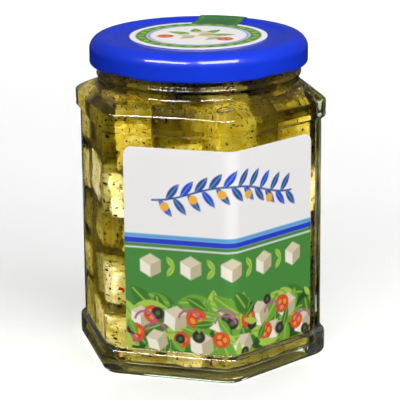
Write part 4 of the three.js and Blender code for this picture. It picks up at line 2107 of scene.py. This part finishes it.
@dataclass
class Studio:
    """Floor, sky, softboxes and camera, in millimetres and degrees."""

    azimuth: float = 15.97
    elevation: float = 15.72
    roll: float = -0.53
    distance: float = 625.5
    aim_z: float = 46.4
    focal_pixels: float = 2029.7
    sensor: float = 36.0
    clip_metres: Point = (0.01, 100.0)
    floor_half: float = 1000.0
    horizon: float = 0.08
    zenith: float = 0.6
    dome: Point = (0.45, 0.75)
    pale: str = "#FAFAFA"
    bounce: str = "#1E1E1E"
    bounces: int = 24
    glossy_bounces: int = 8
    box_distance: float = 1000.0
    boxes: tuple[Softbox, ...] = (
        Softbox("key", -5.0, 28.0, 900.0, 420.0, 6.0, gloss=False),
        Softbox("side", 58.0, 28.0, 900.0, 420.0, 7.4, gloss=False),
        Softbox("back", 190.0, 14.0, 900.0, 600.0, 6.0, gloss=False),
        Softbox("gleam", -22.0, 40.0, 760.0, 240.0, 18.5, fill=False, through=False),
        Softbox("glint", 40.0, 43.0, 640.0, 360.0, 21.5, fill=False),
    )

    def toward(self, azimuth: float, elevation: float) -> Vector:
        """Gives the direction from the jar, with azimuth 0 in front."""
        a, e = math.radians(azimuth), math.radians(elevation)
        return Vector((math.sin(a) * math.cos(e), -math.cos(a) * math.cos(e), math.sin(e)))

    def build_camera(self) -> None:
        """Places the camera at the photograph's view."""
        data = bpy.data.cameras.new("camera")
        data.sensor_width = self.sensor
        data.lens = self.focal_pixels / PICTURE_PIXELS * self.sensor
        data.clip_start, data.clip_end = self.clip_metres
        camera = linked("camera", data)
        back = self.toward(self.azimuth, self.elevation)
        level = (-back).to_track_quat("-Z", "Y").to_matrix()
        turned = level @ Matrix.Rotation(math.radians(self.roll), 3, "Z")
        place = Vector((0, 0, self.aim_z * MM)) + back * self.distance * MM
        camera.matrix_world = Matrix.Translation(place) @ turned.to_4x4()
        bpy.context.scene.camera = camera

    def build_floor(self) -> None:
        """Lays a plain pale floor, which throws less light back than it shows."""
        material = blank_material("pale_floor")
        tree = material.node_tree
        path = add_node(tree, "ShaderNodeLightPath").outputs
        straight = {0: path["Is Camera Ray"], 1: path["Is Transmission Ray"]}
        seen = add_node(tree, MATH, straight, operation="MAXIMUM")
        tones = {0: seen.outputs[0], 6: linear(self.bounce), 7: linear(self.pale)}
        tone = add_node(tree, MIX, tones, data_type="RGBA")
        paint = add_node(tree, "ShaderNodeBsdfDiffuse", {"Color": tone.outputs[2]})
        add_node(tree, OUTPUT, {"Surface": paint.outputs["BSDF"]})
        half = self.floor_half
        corners = np.array([(-half, -half, 0), (half, -half, 0), (half, half, 0), (-half, half, 0)])
        mesh_piece("floor", corners, [(0, 1, 2, 3)], material)

    def build_sky(self) -> None:
        """Lights the room softly from above, darker round the horizon and in mirrors, white to the eye."""
        world = bpy.data.worlds.new("studio")
        world.use_nodes = True
        tree = world.node_tree
        tree.nodes.clear()
        place = add_node(tree, COORDINATES).outputs["Generated"]
        height = add_node(tree, "ShaderNodeSeparateXYZ", {0: place}).outputs["Z"]
        low, high = self.dome
        rise = {"Value": height, "From Min": low, "From Max": high}
        tones = {"To Min": self.horizon, "To Max": self.zenith}
        level = add_node(tree, MAP_RANGE, rise | tones, interpolation_type="SMOOTHSTEP").outputs["Result"]
        path = add_node(tree, "ShaderNodeLightPath").outputs
        for ray, shown in (("Is Glossy Ray", self.horizon), ("Is Camera Ray", 1.0)):
            level = add_node(tree, MIX, {0: path[ray], 2: level, 3: shown}, data_type="FLOAT").outputs[0]
        sky = add_node(tree, "ShaderNodeBackground", {"Color": (1, 1, 1, 1), "Strength": level})
        add_node(tree, "ShaderNodeOutputWorld", {"Surface": sky.outputs["Background"]})
        bpy.context.scene.world = world

    def build_boxes(self) -> None:
        """Hangs the softboxes."""
        for box in self.boxes:
            data = bpy.data.lights.new(box.name, "AREA")
            data.shape = "RECTANGLE"
            data.size, data.size_y = box.width * MM, box.height * MM
            data.energy = box.power
            lamp = linked(box.name, data)
            way = self.toward(box.azimuth, box.elevation)
            place = Vector((0, 0, self.aim_z)) + way * self.box_distance
            turned = way.to_track_quat("Z", "Y").to_matrix().to_4x4()
            lamp.matrix_world = Matrix.Translation(place * MM) @ turned
            lamp.visible_camera = False
            lamp.visible_diffuse = box.fill
            lamp.visible_glossy = box.gloss
            lamp.visible_transmission = box.through

    def build(self) -> None:
        """Builds the whole set."""
        self.build_camera()
        self.build_floor()
        self.build_sky()
        self.build_boxes()
        scene = bpy.context.scene
        scene.view_settings.view_transform = "Standard"
        scene.cycles.max_bounces = self.bounces
        scene.cycles.transmission_bounces = self.bounces
        scene.cycles.transparent_max_bounces = self.bounces
        scene.cycles.glossy_bounces = self.glossy_bounces
        scene.cycles.caustics_refractive = True
        scene.cycles.caustics_reflective = False


def main() -> None:
    """Builds the set and every piece of the jar, in order."""
    logging.basicConfig(level=logging.INFO, format="%(message)s")
    Studio().build()
    jar = GlassJar()
    lid = TwistLid()
    dress(jar.build(FlintGlass()), "clear_glass", "glass_jar")
    dress(jar.build_oil(InfusedOil()), "clear_glass")
    heap = FetaHeap(jar)
    curd = FetaCurd()
    cheese = heap.build(curd)
    dress(cheese, "feta_cheese", "feta_heap")
    dress(heap.build_bed(curd), "feta_cheese")
    scatter = SpiceScatter(jar)
    for spice in (Spice.HERB, Spice.PEPPER, Spice.CHILLI, Spice.CRUMB):
        dress(scatter.build(cheese, spice.value), "feta_cheese")
    dress(scatter.build_floating(), "feta_cheese")
    air = AirPockets(jar)
    dress(air.build_froth(scatter), "clear_glass")
    dress(air.build_bubble(TrappedAir()), "clear_glass")
    dress(lid.build(LidLacquer()), "blue_lacquer", "twist_lid")
    paper = PrintedPaper()
    dress(PanelLabel(jar).build(paper), "printed_label", "panel_label")
    dress(LidSeal(jar, lid).build(paper), "printed_seal", "lid_label")


if __name__ == "__main__":
    main()
